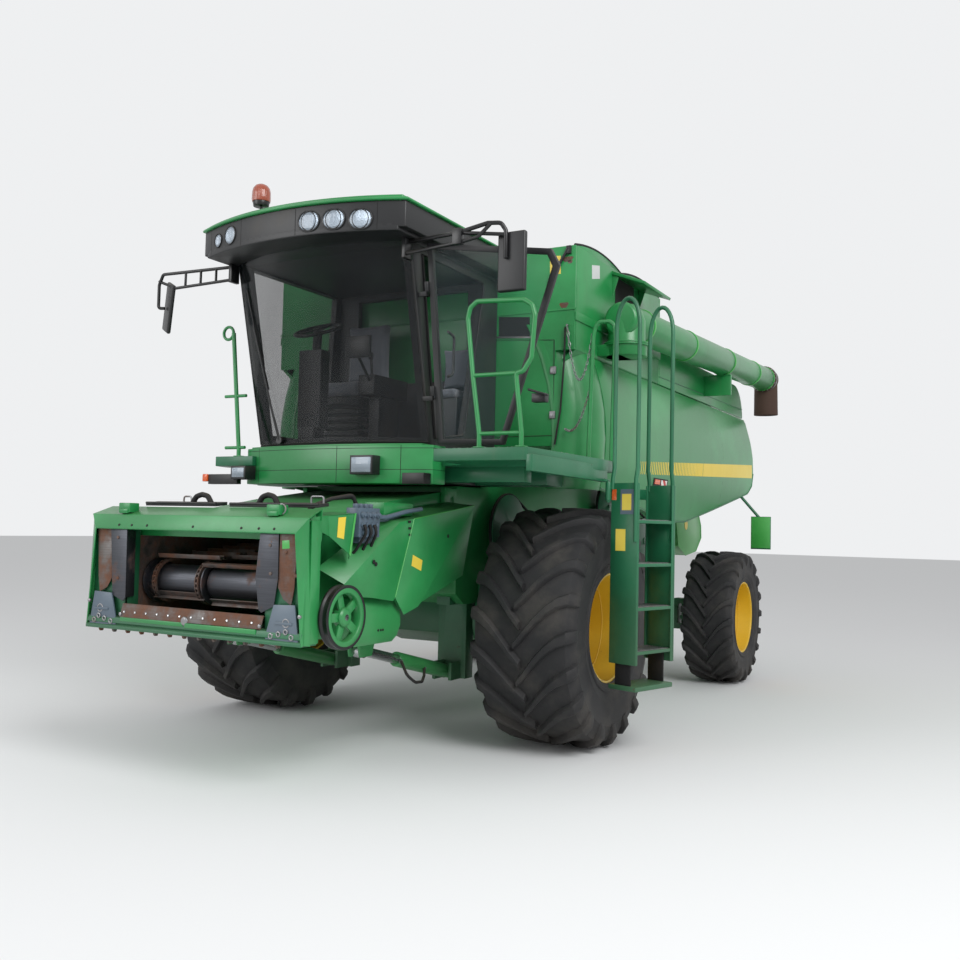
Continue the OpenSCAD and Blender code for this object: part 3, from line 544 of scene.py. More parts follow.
class Shape:
    """Collects solid forms of one finish in one mesh."""

    def __init__(self) -> None:
        """Starts with no faces."""
        self.bm = bmesh.new()

    def add(self, points: Sequence[Point], faces: Sequence[Sequence[int]],
            turn: Matrix | None = None) -> "Shape":
        """Adds points and the faces between them, turned by a matrix if one is given."""
        made = [self.bm.verts.new(turn @ Vector(p) if turn else Vector(p)) for p in points]
        for face in faces:
            self.bm.faces.new([made[i] for i in face])
        return self

    def block(self, low: Point, high: Point, turn: Matrix | None = None) -> "Shape":
        """Adds a box between two corners."""
        corners = [(x, y, z) for x in (low[0], high[0]) for y in (low[1], high[1])
                   for z in (low[2], high[2])]
        return self.add(corners, [(0, 1, 3, 2), (4, 6, 7, 5), (0, 4, 5, 1), (2, 3, 7, 6),
                                  (0, 2, 6, 4), (1, 5, 7, 3)], turn)

    def twin_blocks(self, near: float, far: float, low: Point, high: Point) -> "Shape":
        """Adds a box on each side of the machine.

        Args:
            near: the X of its side near the middle, in metres from the front axle.
            far: the X of its outer side.
            low: its least Y and Z.
            high: its greatest Y and Z.

        Returns:
            This shape.
        """
        for side in (-1, 1):
            ends = sorted((side * near, side * far))
            self.block(at(ends[0], *low), at(ends[1], *high))
        return self

    def plate(self, outline: Sequence[Point], thickness: Point) -> "Shape":
        """Adds a flat plate from its outline and a vector across its thickness."""
        count = len(outline)
        across = Vector(thickness)
        points = [Vector(p) for p in outline] + [Vector(p) + across for p in outline]
        sides = [(i, (i + 1) % count, count + (i + 1) % count, count + i) for i in range(count)]
        return self.add(points, [tuple(reversed(range(count))),
                                 tuple(range(count, 2 * count)), *sides])

    def prism(self, axis: int, low: float, high: float,
              outline: Sequence[Sequence[float]]) -> "Shape":
        """Adds a plate square to an axis, its outline in the other two coordinates in order."""
        def lift(pair: Sequence[float], value: float) -> list[float]:
            """Returns the pair with the axis value put in its place."""
            point = list(pair)
            point.insert(axis, value)
            return point

        across = [0.0, 0.0, 0.0]
        across[axis] = high - low
        return self.plate([lift(pair, low) for pair in outline], across)

    def tube(self, points: Sequence[Point], radius: float | Sequence[float], sides: int = 12,
             closed: bool = False) -> "Shape":
        """Adds a round bar along a path.

        Args:
            points: the path.
            radius: one radius, or one for each point.
            sides: faces round it.
            closed: whether the path's end meets its start.

        Returns:
            This shape.
        """
        path = [Vector(p) for p in points]
        count = len(path)
        radii = [radius] * count if isinstance(radius, (int, float)) else list(radius)
        ahead = []
        for i in range(count):
            before = path[i - 1] if i > 0 or closed else path[i]
            after = path[(i + 1) % count] if i < count - 1 or closed else path[i]
            ahead.append((after - before).normalized())
        side = ahead[0].orthogonal().normalized()
        rings = []
        for i in range(count):
            if i:
                side = (ahead[i - 1].rotation_difference(ahead[i]) @ side).normalized()
            other = ahead[i].cross(side)
            stretch = 1.0
            if 0 < i < count - 1:
                cos = max(0.5, (path[i] - path[i - 1]).normalized().dot(ahead[i]))
                stretch = 1.0 / cos if cos > 0.85 else 1.0
            rings.append([self.bm.verts.new(path[i] + radii[i] * stretch * (
                math.cos(a) * side + math.sin(a) * other))
                for a in (2 * math.pi * k / sides for k in range(sides))])
        pairs = list(zip(rings, rings[1:])) + ([(rings[-1], rings[0])] if closed else [])
        for first, second in pairs:
            for k in range(sides):
                self.bm.faces.new([first[k], first[(k + 1) % sides],
                                   second[(k + 1) % sides], second[k]])
        if not closed:
            self.bm.faces.new(list(reversed(rings[0])))
            self.bm.faces.new(rings[-1])
        return self

    def rod(self, start: Point, end: Point, radius: float, sides: int = 16) -> "Shape":
        """Adds a straight round bar."""
        return self.tube([start, end], radius, sides)

    def lathe(self, centre: Point, axis: Point, profile: Sequence[Sequence[float]],
              steps: int = 48) -> "Shape":
        """Adds a closed turned form.

        Args:
            centre: a point on the axis.
            axis: the direction of the axis.
            profile: closed loop of (distance along the axis, radius) pairs; radius 0 is a pole.
            steps: faces round it.

        Returns:
            This shape.
        """
        along = Vector(axis).normalized()
        side = along.orthogonal().normalized()
        other = along.cross(side)
        loops = []
        for distance, radius in profile:
            base = Vector(centre) + along * distance
            if radius <= 1e-6:
                loops.append([self.bm.verts.new(base)] * steps)
            else:
                loops.append([self.bm.verts.new(base + radius * (
                    math.cos(2 * math.pi * k / steps) * side + math.sin(2 * math.pi * k / steps)
                    * other))
                    for k in range(steps)])
        for i, loop in enumerate(loops):
            after = loops[(i + 1) % len(loops)]
            for k in range(steps):
                corners = [loop[k], loop[(k + 1) % steps], after[(k + 1) % steps], after[k]]
                corners = list(dict.fromkeys(corners))
                if len(corners) > 2:
                    self.bm.faces.new(corners)
        return self

    def disc(self, centre: Point, axis: Point, radius: float, thick: float,
             steps: int = 32) -> "Shape":
        """Adds a solid disc whose middle plane passes through its centre."""
        half = thick / 2
        return self.lathe(centre, axis, [(-half, 0), (-half, radius), (half, radius), (half, 0)],
                          steps)

    def mirrored(self) -> "Shape":
        """Adds a copy of everything, mirrored in the machine's middle plane."""
        twin = bmesh.ops.duplicate(self.bm, geom=[*self.bm.verts, *self.bm.edges, *self.bm.faces])
        verts = [g for g in twin["geom"] if isinstance(g, bmesh.types.BMVert)]
        faces = [g for g in twin["geom"] if isinstance(g, bmesh.types.BMFace)]
        for vert in verts:
            vert.co.x = 2 * AXLE.x - vert.co.x
        bmesh.ops.reverse_faces(self.bm, faces=faces)
        return self

    def mesh_object(self, name: str) -> bpy.types.Object:
        """Returns an object at the origin that holds this shape's closed mesh."""
        bmesh.ops.recalc_face_normals(self.bm, faces=self.bm.faces)
        mesh = bpy.data.meshes.new(name)
        self.bm.to_mesh(mesh)
        self.bm.free()
        obj = bpy.data.objects.new(name, mesh)
        bpy.context.scene.collection.objects.link(obj)
        return obj

    def piece(self, name: str, body: str, tone: Tone, edge: float = 0.002, segments: int = 2,
              replaces: Sequence[str] = ()) -> bpy.types.Object:
        """Turns the shape into a finished piece of the machine.

        Args:
            name: the piece's name.
            body: the CAD body it moves with.
            tone: its finish.
            edge: rounding of its sharp edges.
            segments: faces across a rounded edge.
            replaces: CAD nodes that it stands for.

        Returns:
            The piece.
        """
        return dress(soften(self.mesh_object(name), edge, segments), body, tone, replaces)


def dress(obj: bpy.types.Object, body: str, tone: Tone,
          replaces: Sequence[str] = ()) -> bpy.types.Object:
    """Gives a piece its finish, its body and the nodes it stands for."""
    obj.data.materials.clear()
    obj.data.materials.append(tone.value.material())
    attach(obj, body)
    if replaces:
        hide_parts(*replaces)
    log.info("%s rides on %s with %d faces", obj.name, body, len(obj.data.polygons))
    return obj


BODY_OF = {node: body for body, nodes in frame["record"]["behaviour"]["bodies"].items()
           for node in nodes}


def refine(node: str, tone: Tone, edge: float = 0.004, segments: int = 2) -> bpy.types.Object:
    """Stands a copy of a CAD node in its place, merged and with rounded edges.

    Args:
        node: the CAD node.
        tone: its finish.
        edge: rounding of its sharp edges in metres.
        segments: faces across a rounded edge.

    Returns:
        The piece.
    """
    bm = bmesh.new()
    bm.from_mesh(frame["nodes"][node].data)
    bmesh.ops.remove_doubles(bm, verts=bm.verts, dist=2e-5)
    bmesh.ops.dissolve_limit(bm, angle_limit=math.radians(0.6), verts=bm.verts, edges=bm.edges)
    mesh = bpy.data.meshes.new(node + "_fine")
    bm.to_mesh(mesh)
    bm.free()
    obj = bpy.data.objects.new(node + "_fine", mesh)
    bpy.context.scene.collection.objects.link(obj)
    return dress(soften(obj, edge, segments), BODY_OF[node], tone, [node])


class Pattern(Enum):
    """How the copies of a repeated form are laid out."""

    ROW = "row"
    RING = "ring"


@dataclass
class Repeat:
    """Copies of one small form, laid out by a Geometry Nodes tree."""

    form: Shape
    pattern: Pattern
    count: int
    start: Point = (0, 0, 0)
    step: Point = (0, 0, 0)
    axis: Point = (1, 0, 0)

    def tree(self) -> bpy.types.NodeTree:
        """Builds the tree of this pattern, with named inputs."""
        tree = bpy.data.node_groups.new("repeat_" + self.pattern.value, "GeometryNodeTree")
        sockets = tree.interface
        for name, kind in (("Geometry", "NodeSocketGeometry"), ("Count", "NodeSocketInt"),
                           ("Start", "NodeSocketVector"), ("Step", "NodeSocketVector"),
                           ("Axis", "NodeSocketVector"), ("Finish", "NodeSocketMaterial")):
            sockets.new_socket(name=name, in_out="INPUT", socket_type=kind)
        sockets.new_socket(name="Geometry", in_out="OUTPUT", socket_type="NodeSocketGeometry")
        graph = Graph(tree)
        given = graph.put("NodeGroupInput")

        def took(name: str) -> Value:
            """Returns one of the tree's inputs."""
            return Value(graph, given.outputs[name])

        index = graph.add("GeometryNodeInputIndex")
        if self.pattern is Pattern.ROW:
            spots = graph.add("GeometryNodeMeshLine", None,
                              {"Count": took("Count"), "Start Location": took("Start"),
                               "Offset": took("Step")})
            turn = (0.0, 0.0, 0.0)
        else:
            spots = graph.add("GeometryNodeMeshLine", None,
                              {"Count": took("Count"), "Start Location": took("Start"),
                               "Offset": (0, 0, 0)})
            angle = index * (2 * math.pi) / took("Count")
            turn = graph.add("FunctionNodeAxisAngleToRotation",
                             None, {"Axis": took("Axis"), "Angle": angle})
        copies = graph.add("GeometryNodeInstanceOnPoints", None,
                           {"Points": spots, "Instance": took("Geometry"), "Rotation": turn})
        real = graph.add("GeometryNodeRealizeInstances", None, {"Geometry": copies})
        done = graph.add("GeometryNodeSetMaterial", None,
                         {"Geometry": real, "Material": took("Finish")})
        graph.put("NodeGroupOutput", None, {0: done})
        return tree

    def piece(self, name: str, body: str, tone: Tone, edge: float = 0.0,
              replaces: Sequence[str] = ()) -> bpy.types.Object:
        """Lays out the copies and returns them as one plain piece.

        Args:
            name: the piece's name.
            body: the CAD body it moves with.
            tone: its finish.
            edge: rounding of the form's sharp edges.
            replaces: CAD nodes that it stands for.

        Returns:
            The piece.
        """
        obj = soften(self.form.mesh_object(name), edge)
        obj.data.materials.append(tone.value.material())
        tree = self.tree()
        modifier = obj.modifiers.new("copies", "NODES")
        modifier.node_group = tree
        values = {"Count": self.count, "Start": tuple(self.start), "Step": tuple(self.step),
                  "Axis": tuple(self.axis), "Finish": tone.value.material()}
        for item in tree.interface.items_tree:
            if item.in_out == "INPUT" and item.name in values:
                modifier[item.identifier] = values[item.name]
        settle(obj)
        return dress(obj, body, tone, replaces)


def bolt(radius: float, height: float, axis: Point = (0, 0, 1)) -> Shape:
    """Returns a hexagon bolt head on a washer, which stands on the origin along an axis."""
    shape = Shape()
    shape.lathe((0, 0, 0), axis, [(-0.001, 0), (-0.001, radius * 1.5),
                                  (height * 0.25, radius * 1.5),
                                  (height * 0.25, 0)], 14)
    shape.lathe((0, 0, 0), axis, [(height * 0.2, 0), (height * 0.2, radius), (height * 0.9, radius),
                                  (height, radius * 0.85), (height, 0)], 6)
    return shape


def arc(centre: Point, radius: float, start: float, end: float, steps: int,
        first: Point, second: Point) -> list[Vector]:
    """Returns points of an arc in the plane of two unit vectors, angles in degrees."""
    one, two = Vector(first), Vector(second)
    return [Vector(centre) + radius * (math.cos(a) * one + math.sin(a) * two) for a in
            (math.radians(start + (end - start) * k / steps) for k in range(steps + 1))]


def bent(points: Sequence[Point], radius: float, steps: int = 5) -> list[Vector]:
    """Rounds the corners of a path.

    Args:
        points: the path's corners.
        radius: bend radius, cut down where a leg is short.
        steps: points in each bend.

    Returns:
        The rounded path.
    """
    path = [Vector(p) for p in points]
    result = [path[0]]
    for before, corner, after in zip(path, path[1:], path[2:]):
        back, ahead = (before - corner), (after - corner)
        turn = math.pi - back.angle(ahead)
        reach = min(radius * math.tan(turn / 2), back.length * 0.48, ahead.length * 0.48)
        start, end = corner + back.normalized() * reach, corner + ahead.normalized() * reach
        result += [(1 - t) ** 2 * start + 2 * t * (1 - t) * corner + t * t * end
                   for t in (k / steps for k in range(steps + 1))]
    return result + [path[-1]]


# studio


@dataclass
class Studio:
    """Camera at the photograph's place, pale floor and soft light."""

    eye: Point = (4.513, -8.801, 1.690)
    yaw: float = -29.087
    pitch: float = 2.641
    roll: float = 1.281
    focal: float = 995.3
    frame_px: float = 960.0
    pale: tuple[float, float, float, float] = (0.80, 0.81, 0.82, 1.0)
    fill: float = 0.62
    sensor: float = 36.0
    floor_reach: float = 70.0

    def camera(self) -> None:
        """Places the camera where the photograph was taken from."""
        yaw, pitch, roll = (math.radians(a) for a in (self.yaw, self.pitch, self.roll))
        ahead = Vector((math.sin(yaw) * math.cos(pitch), math.cos(yaw) * math.cos(pitch),
                        math.sin(pitch)))
        right = Vector((math.cos(yaw), -math.sin(yaw), 0.0))
        up = right.cross(ahead)
        side = right * math.cos(roll) + up * math.sin(roll)
        top = up * math.cos(roll) - right * math.sin(roll)
        lens = bpy.data.cameras.new("camera")
        lens.sensor_width = lens.sensor_height = self.sensor
        lens.sensor_fit = "AUTO"
        lens.lens = self.focal / self.frame_px * self.sensor
        lens.clip_end = 200.0
        camera = bpy.data.objects.new("camera", lens)
        camera.matrix_world = Matrix((
            (side.x, top.x, -ahead.x, self.eye[0]), (side.y, top.y, -ahead.y, self.eye[1]),
            (side.z, top.z, -ahead.z, self.eye[2]), (0, 0, 0, 1)))
        bpy.context.scene.collection.objects.link(camera)
        bpy.context.scene.camera = camera

    def floor(self) -> None:
        """Lays a pale floor that reaches the horizon."""
        mesh = bpy.data.meshes.new("floor")
        size = self.floor_reach
        mesh.from_pydata([(-size, -size, 0), (size, -size, 0), (size, size, 0), (-size, size, 0)],
                         [],
                         [(0, 1, 2, 3)])
        floor = bpy.data.objects.new("floor", mesh)
        bpy.context.scene.collection.objects.link(floor)
        material = bpy.data.materials.new("studio_floor")
        material.use_nodes = True
        material.node_tree.nodes.clear()
        graph = Graph(material.node_tree)
        matt = graph.add("ShaderNodeBsdfDiffuse", None, {"Color": self.pale})
        graph.put("ShaderNodeOutputMaterial", None, {0: matt})
        mesh.materials.append(material)

    def world(self) -> None:
        """Sets a pale backdrop for the eye and an even, weaker light for the machine."""
        world = bpy.data.worlds.new("studio")
        world.use_nodes = True
        world.node_tree.nodes.clear()
        graph = Graph(world.node_tree)
        path = graph.put("ShaderNodeLightPath")
        seen = Value(graph, path.outputs["Is Camera Ray"])
        for name in ("Is Glossy Ray", "Is Transmission Ray"):
            seen = seen.at_least(Value(graph, path.outputs[name]))
        light = graph.add("ShaderNodeBackground", None,
                          {"Color": (1, 1, 1, 1), "Strength": self.fill})
        shown = graph.add("ShaderNodeBackground", None,
                          {"Color": (0.86, 0.87, 0.88, 1), "Strength": 1.0})
        mixed = graph.add("ShaderNodeMixShader", None, {0: seen, 1: light, 2: shown})
        graph.put("ShaderNodeOutputWorld", None, {0: mixed})
        bpy.context.scene.world = world

    def lamp(self, name: str, place: Point, aim: Point, size: float, power: float) -> None:
        """Hangs a soft square lamp that looks at a point."""
        light = bpy.data.lights.new(name, "AREA")
        light.shape, light.size, light.energy = "SQUARE", size, power
        obj = bpy.data.objects.new(name, light)
        obj.location = place
        obj.rotation_euler = (Vector(aim) - Vector(place)).to_track_quat("-Z", "Y").to_euler()
        bpy.context.scene.collection.objects.link(obj)

    def build(self) -> None:
        """Builds the whole studio."""
        self.camera()
        self.floor()
        self.world()
        self.lamp("key_lamp", (9.0, -7.0, 9.0), (0, -1, 1.6), 6.0, 900.0)
        self.lamp("front_lamp", (-6.0, -12.0, 6.0), (-0.5, -3, 1.2), 6.0, 420.0)
        bpy.context.scene.view_settings.view_transform = "Standard"


# wheels


@dataclass
class Wheel:
    """One wheel: a lugged tyre on a dished rim."""

    body: str
    tyre_node: str
    rim_node: str
    centre: Vector
    radius: float
    width: float
    rim_radius: float
    side: int
    lugs: int = 20
    lug_height: float = 0.045

    def carcass(self) -> None:
        """Turns the tyre's carcass with its ribs and bead."""
        scale, half = (self.radius - self.rim_radius) / 0.49, self.width / 2
        crown = self.radius - self.lug_height
        # profile columns: radius, share of the half width
        outer = [(self.rim_radius - 0.012, 0.80), (self.rim_radius - 0.012, 0.90),
                 (self.rim_radius + 0.02 * scale, 0.925), (self.rim_radius + 0.035 * scale, 0.955),
                 (self.rim_radius + 0.05 * scale, 0.955), (self.rim_radius + 0.06 * scale, 0.93),
                 (self.rim_radius + 0.12 * scale, 0.975), (self.rim_radius + 0.135 * scale, 0.985),
                 (self.rim_radius + 0.145 * scale, 0.98), (self.rim_radius + 0.22 * scale, 1.0),
                 (self.rim_radius + 0.30 * scale, 0.995), (self.rim_radius + 0.305 * scale, 1.0),
                 (self.rim_radius + 0.315 * scale, 0.99), (self.rim_radius + 0.37 * scale, 0.965),
                 (crown - 0.024 * scale, 0.90), (crown - 0.009 * scale, 0.79),
                 (crown - 0.002 * scale, 0.5), (crown, 0.2)]
        profile = [(share * half, radius) for radius, share in outer]
        profile += [(-along, radius) for along, radius in reversed(profile)]
        Shape().lathe(self.centre, (1, 0, 0), profile, 120).piece(
            self.tyre_node + "_carcass", self.body, Tone.TYRE, 0.0, replaces=[self.tyre_node])

    def lug(self, shape: Shape, hand: int, lead: float) -> None:
        """Adds one curved lug from the middle of the tread to the shoulder.

        Args:
            shape: the shape that takes it.
            hand: 1 for the +X half of the tread, -1 for the other.
            lead: angle of the lug's outer end round the axle.
        """
        half, scale = self.width / 2, self.radius / 0.925
        crown = self.radius - self.lug_height
        # stations: share of the half width, drop of the carcass, height, lead, top and foot width
        stations = [(-0.05, 0.0, 1.0, 0.375, 0.042, 0.075), (0.12, 0.0, 1.0, 0.300, 0.050, 0.088),
                    (0.32, 0.001, 1.0, 0.200, 0.055, 0.092),
                    (0.54, 0.004, 1.02, 0.105, 0.060, 0.098),
                    (0.74, 0.012, 1.06, 0.042, 0.068, 0.106),
                    (0.885, 0.030, 1.05, 0.010, 0.076, 0.114),
                    (0.965, 0.066, 0.80, 0.000, 0.074, 0.108),
                    (0.992, 0.112, 0.45, -0.006, 0.064, 0.096),
                    (1.0, 0.150, 0.10, -0.010, 0.052, 0.080)]
        spots = []
        for share, drop, *_ in stations:
            spots.append((share * half * hand, crown - drop * scale))
        points, faces = [], []
        for i, (share, drop, rise, arc_lead, top, foot) in enumerate(stations):
            x, radius = spots[i]
            angle = lead + arc_lead * scale / self.radius
            radial = Vector((0, math.cos(angle), math.sin(angle)))
            round_way = Vector((0, -math.sin(angle), math.cos(angle)))
            near, far = spots[max(0, i - 1)], spots[min(len(spots) - 1, i + 1)]
            slope = Vector((far[0] - near[0], far[1] - near[1])).normalized()
            normal = Vector((-slope.y * hand, slope.x * hand))
            out = Vector((normal.x, 0, 0)) + radial * normal.y
            base = Vector((x, 0, 0)) + radial * radius
            height = self.lug_height * rise - 0.0004
            for width, lift in ((foot, -0.02), (top * 1.12, height * 0.82), (top, height)):
                for way in (-1, 1):
                    inset = 0.005 if lift == height else 0.0
                    points.append(base + out * lift + round_way
                                  * (way * (width / 2 - inset) * scale))
        for i in range(len(stations)):
            k = 6 * i
            if i == 0:
                faces.append((k, k + 2, k + 4, k + 5, k + 3, k + 1))
            if i == len(stations) - 1:
                faces.append((k + 1, k + 3, k + 5, k + 4, k + 2, k))
            else:
                n = k + 6
                for a, b in ((0, 2), (2, 4), (4, 5), (5, 3), (3, 1), (1, 0)):
                    faces.append((k + a, n + a, n + b, k + b))
        shape.add(points, faces)

    def tread(self) -> None:
        """Lays the lugs round the tyre in two staggered rows."""
        pair = Shape()
        self.lug(pair, 1, 0.0)
        self.lug(pair, -1, math.pi / self.lugs)
        Repeat(pair, Pattern.RING, self.lugs, start=self.centre).piece(
            self.tyre_node + "_tread", self.body, Tone.TYRE)

    def rim(self) -> None:
        """Refines the rim and adds its lip, nuts, clamps and valve."""
        refine(self.rim_node, YELLOW, 0.004)
        out = Vector((self.side, 0, 0))
        front = self.radius > 0.8
        lip = self.centre + out * (self.width * 0.435)
        ring = Shape()
        loop = arc(lip, self.rim_radius - 0.004, 0, 360 - 360 / 96, 95, (0, 1, 0), (0, 0, 1))
        ring.tube(loop, 0.009, 8, closed=True)
        for depth, inset in ((0.30, 0.020), (0.16, 0.030)):
            loop = arc(self.centre + out * self.width * depth,
                       self.rim_radius - inset, 0, 360 - 360 / 96, 95,
                       (0, 1, 0), (0, 0, 1))
            ring.tube(loop, 0.006, 6, closed=True)
        ring.piece(self.rim_node + "_rings", self.body, YELLOW, 0.0)
        disc = (-0.020 if front else -0.060) + 0.012
        spot = self.centre + out * disc
        head = bolt(0.017, 0.028, out)
        bmesh.ops.translate(head.bm, verts=head.bm.verts,
                            vec=Vector((0, 0, self.rim_radius * (0.50 if front else 0.42))))
        Repeat(head, Pattern.RING, 10, start=spot).piece(self.rim_node + "_nuts",
                                                         self.body, Tone.RUSTY)
        hub = self.centre + out * (disc + 0.098)
        head = bolt(0.013, 0.02, out)
        bmesh.ops.translate(head.bm, verts=head.bm.verts,
                            vec=Vector((0, 0, (0.165 if front else 0.115) - 0.03)))
        Repeat(head, Pattern.RING, 12, start=hub).piece(self.rim_node + "_hub_bolts",
                                                        self.body, YELLOW)
        cap = Shape()
        cap.lathe(hub, out, [(-0.01, 0), (-0.01, 0.085), (0.012, 0.085),
                             (0.022, 0.07), (0.05, 0.06),
                             (0.062, 0.045), (0.064, 0)], 40)
        cap.lathe(spot, out, [(0.0, 0.14), (0.0, 0.20), (0.010, 0.20),
                              (0.016, 0.19), (0.02, 0.16), (0.02, 0.14)], 48)
        cap.piece(self.rim_node + "_cap", self.body, YELLOW, 0.0015)
        valve = Shape()
        start = spot + Vector((0, -0.30 * self.rim_radius / 0.435, -self.rim_radius * 0.62))
        valve.tube([start - out * 0.01, start + out * 0.03,
                    start + out * 0.06 + Vector((0, 0, -0.01))],
                   [0.011, 0.009, 0.006], 10)
        valve.piece(self.rim_node + "_valve", self.body, Tone.SEAL, 0.0)

    def build(self) -> None:
        """Builds the wheel's pieces."""
        self.carcass()
        self.tread()
        self.rim()


@dataclass
class Wheels:
    """The four wheels."""

    wheelbase: float = 4.03

    def build(self) -> None:
        """Builds each wheel at its place."""
        for side, word in ((1, "left"), (-1, "right")):
            Wheel("wheel_front_" + word, "tyre_front_" + word, "rim_front_" + word,
                  at(side * 1.46, 0, 0.925), 0.925, 0.80, 0.435, side).build()
            Wheel("wheel_rear_" + word, "tyre_rear_" + word, "rim_rear_" + word,
                  at(side * 1.59, self.wheelbase, 0.732), 0.732,
                  0.54, 0.406, side, lug_height=0.038).build()


# feeder


@dataclass
class FeederFrame:
    """The front frame of the feeder, where the header hangs."""

    half: float = 0.917
    front: float = -2.638
    lip_low: float = 1.620
    lip_crease: float = 1.716
    lip_back: float = 1.772
    floor: float = 0.952

    def lip(self) -> None:
        """Folds the upper lip, mitred into the two side flanges."""
        front, crease, back = self.front, self.front + 0.038, -2.452
        low, mid, top, half = self.lip_low, self.lip_crease, self.lip_back, self.half
        shape = Shape()
        outer = [(0.862, front, low), (0.938, crease, mid), (0.915, back, top)]
        for first, second, thick in ((0, 1, (0, 0.008, -0.002)), (1, 2, (0, -0.002, -0.008))):
            a, b = outer[first], outer[second]
            shape.plate([(AXLE.x - a[0], AXLE.y + a[1], a[2]), (AXLE.x + a[0], AXLE.y + a[1], a[2]),
                         (AXLE.x + b[0], AXLE.y + b[1], b[2]),
                         (AXLE.x - b[0], AXLE.y + b[1], b[2])], thick)
        shape.block(at(-0.862, front + 0.002, low - 0.004), at(0.862, front + 0.05, low + 0.006))
        shape.block(at(-half, back - 0.01, mid - 0.14), at(half, back, top - 0.004))
        shape.piece("feeder_frame_lip", "feeder", GREEN, 0.003, replaces=["feeder_frame"])
        # painted shade: black discs stand for holes, dark as the shade seen through them
        shaded_holes = Shape()
        for x in (-0.644, -0.525, -0.384, 0.025, 0.430, 0.571, 0.692):
            shaded_holes.disc(at(x, front + 0.009, low + 0.024), (0, 1, -0.4), 0.0085, 0.004, 14)
        shaded_holes.piece("feeder_lip_holes_painted_shade", "feeder", Tone.SEAL, 0.0)

    def flanges(self) -> None:
        """Sets the side flanges with their long fold."""
        front, shape = self.front, Shape()
        top = [(0.862, front, self.lip_low), (0.938, front + 0.038, self.lip_crease),
               (0.905, -2.500, self.lip_crease + 0.02)]
        fold_top, fold_low = (0.900, -2.572, 1.690), (0.930, -2.612, 0.960)
        low_front, low_back = (0.925, front + 0.004, self.floor), (0.935, -2.560, self.floor)
        thick = (-0.008, 0.003, 0)
        for corners in ([top[0], top[1], fold_top, fold_low, low_front],
                        [fold_top, top[2], low_back, fold_low],
                        [top[1], top[2], fold_top]):
            shape.plate([at(*p) for p in corners], thick)
        shape.block(at(0.912, -2.560, self.floor + 0.01), at(0.924, -2.470, 1.700))
        shape.mirrored().piece("feeder_frame_flanges", "feeder", GREEN, 0.002)
        inner = Shape()
        inner.block(at(0.60, -2.590, 1.00), at(0.905, -2.575, 1.700))
        inner.block(at(0.60, -2.590, 1.00), at(0.612, -2.482, 1.700))
        inner.block(at(0.660, -2.575, 1.02), at(0.672, -2.482, 1.690))
        inner.mirrored().piece("feeder_frame_posts", "feeder", DEEP, 0.003)

    def beam(self) -> None:
        """Forms the ribbed lower beam with its hooks."""
        front, low = self.front, self.floor
        section = [(front + 0.050, 1.040), (front + 0.012, 1.030), (front + 0.004, 0.994),
                   (front + 0.020, 0.986), (front, 0.972), (front, low),
                   (-2.484, low), (-2.484, 1.040)]
        shape = Shape().prism(0, AXLE.x - 0.922, AXLE.x + 0.922,
                              [(AXLE.y + y, z) for y, z in section])
        shape.piece("feeder_frame_beam", "feeder", DEEP, 0.003)
        pad = Shape().block(at(-0.012, front + 0.001, 1.003), at(0.575, front + 0.03, 1.034))
        pad.block(at(-0.60, front + 0.004, 1.008), at(-0.030, front + 0.03, 1.036))
        pad.piece("feeder_beam_pad", "feeder", GREEN, 0.004)
        hook = Shape().plate([(0, 0, 0.010), (0, 0.040, 0.010),
                              (0, 0.030, -0.018), (0, 0.012, -0.018),
                              (0, 0.004, -0.006)], (0.014, 0, 0))
        Repeat(hook, Pattern.ROW, 13, start=at(-0.82, front + 0.02, low - 0.004),
               step=(0.128, 0, 0)).piece(
            "feeder_beam_hooks", "feeder", Tone.RUSTY, 0.0)

    def strip(self) -> None:
        """Bolts the dark wear strip across the sill of the mouth."""
        front = self.front
        shape = Shape().plate([at(-0.605, front + 0.006, 1.036), at(0.610, front + 0.006, 1.036),
                               at(0.610, front + 0.030, 1.116), at(-0.605, front + 0.030, 1.124)],
                               (0, 0.008, 0.002))
        shape.plate([at(-0.600, front + 0.030, 1.124), at(0.606, front + 0.030, 1.116),
                     at(0.600, -2.470, 1.085), at(-0.600, -2.470, 1.093)], (0, 0.001, -0.006))
        shape.piece("feeder_wear_strip", "feeder", Tone.RUSTY, 0.002)
        head = Shape().lathe((0, 0, 0), (0, -1, 0.25),
                             [(-0.002, 0), (-0.002, 0.0085), (0.003, 0.0085),
                                                     (0.006, 0.005), (0.006, 0)], 14)
        Repeat(head, Pattern.ROW, 12, start=at(-0.570, front + 0.0155, 1.071),
               step=(0.1005, 0, 0)).piece(
            "feeder_strip_bolts", "feeder", Tone.BRIGHT)
        Shape().lathe(at(-0.022, front + 0.014, 1.044), (0, -1, 0),
                      [(-0.01, 0), (-0.01, 0.030), (0.006, 0.030),
                      (0.012, 0.022), (0.012, 0)], 24).piece("feeder_strip_stud",
                                                             "feeder", Tone.STEEL, 0.002)

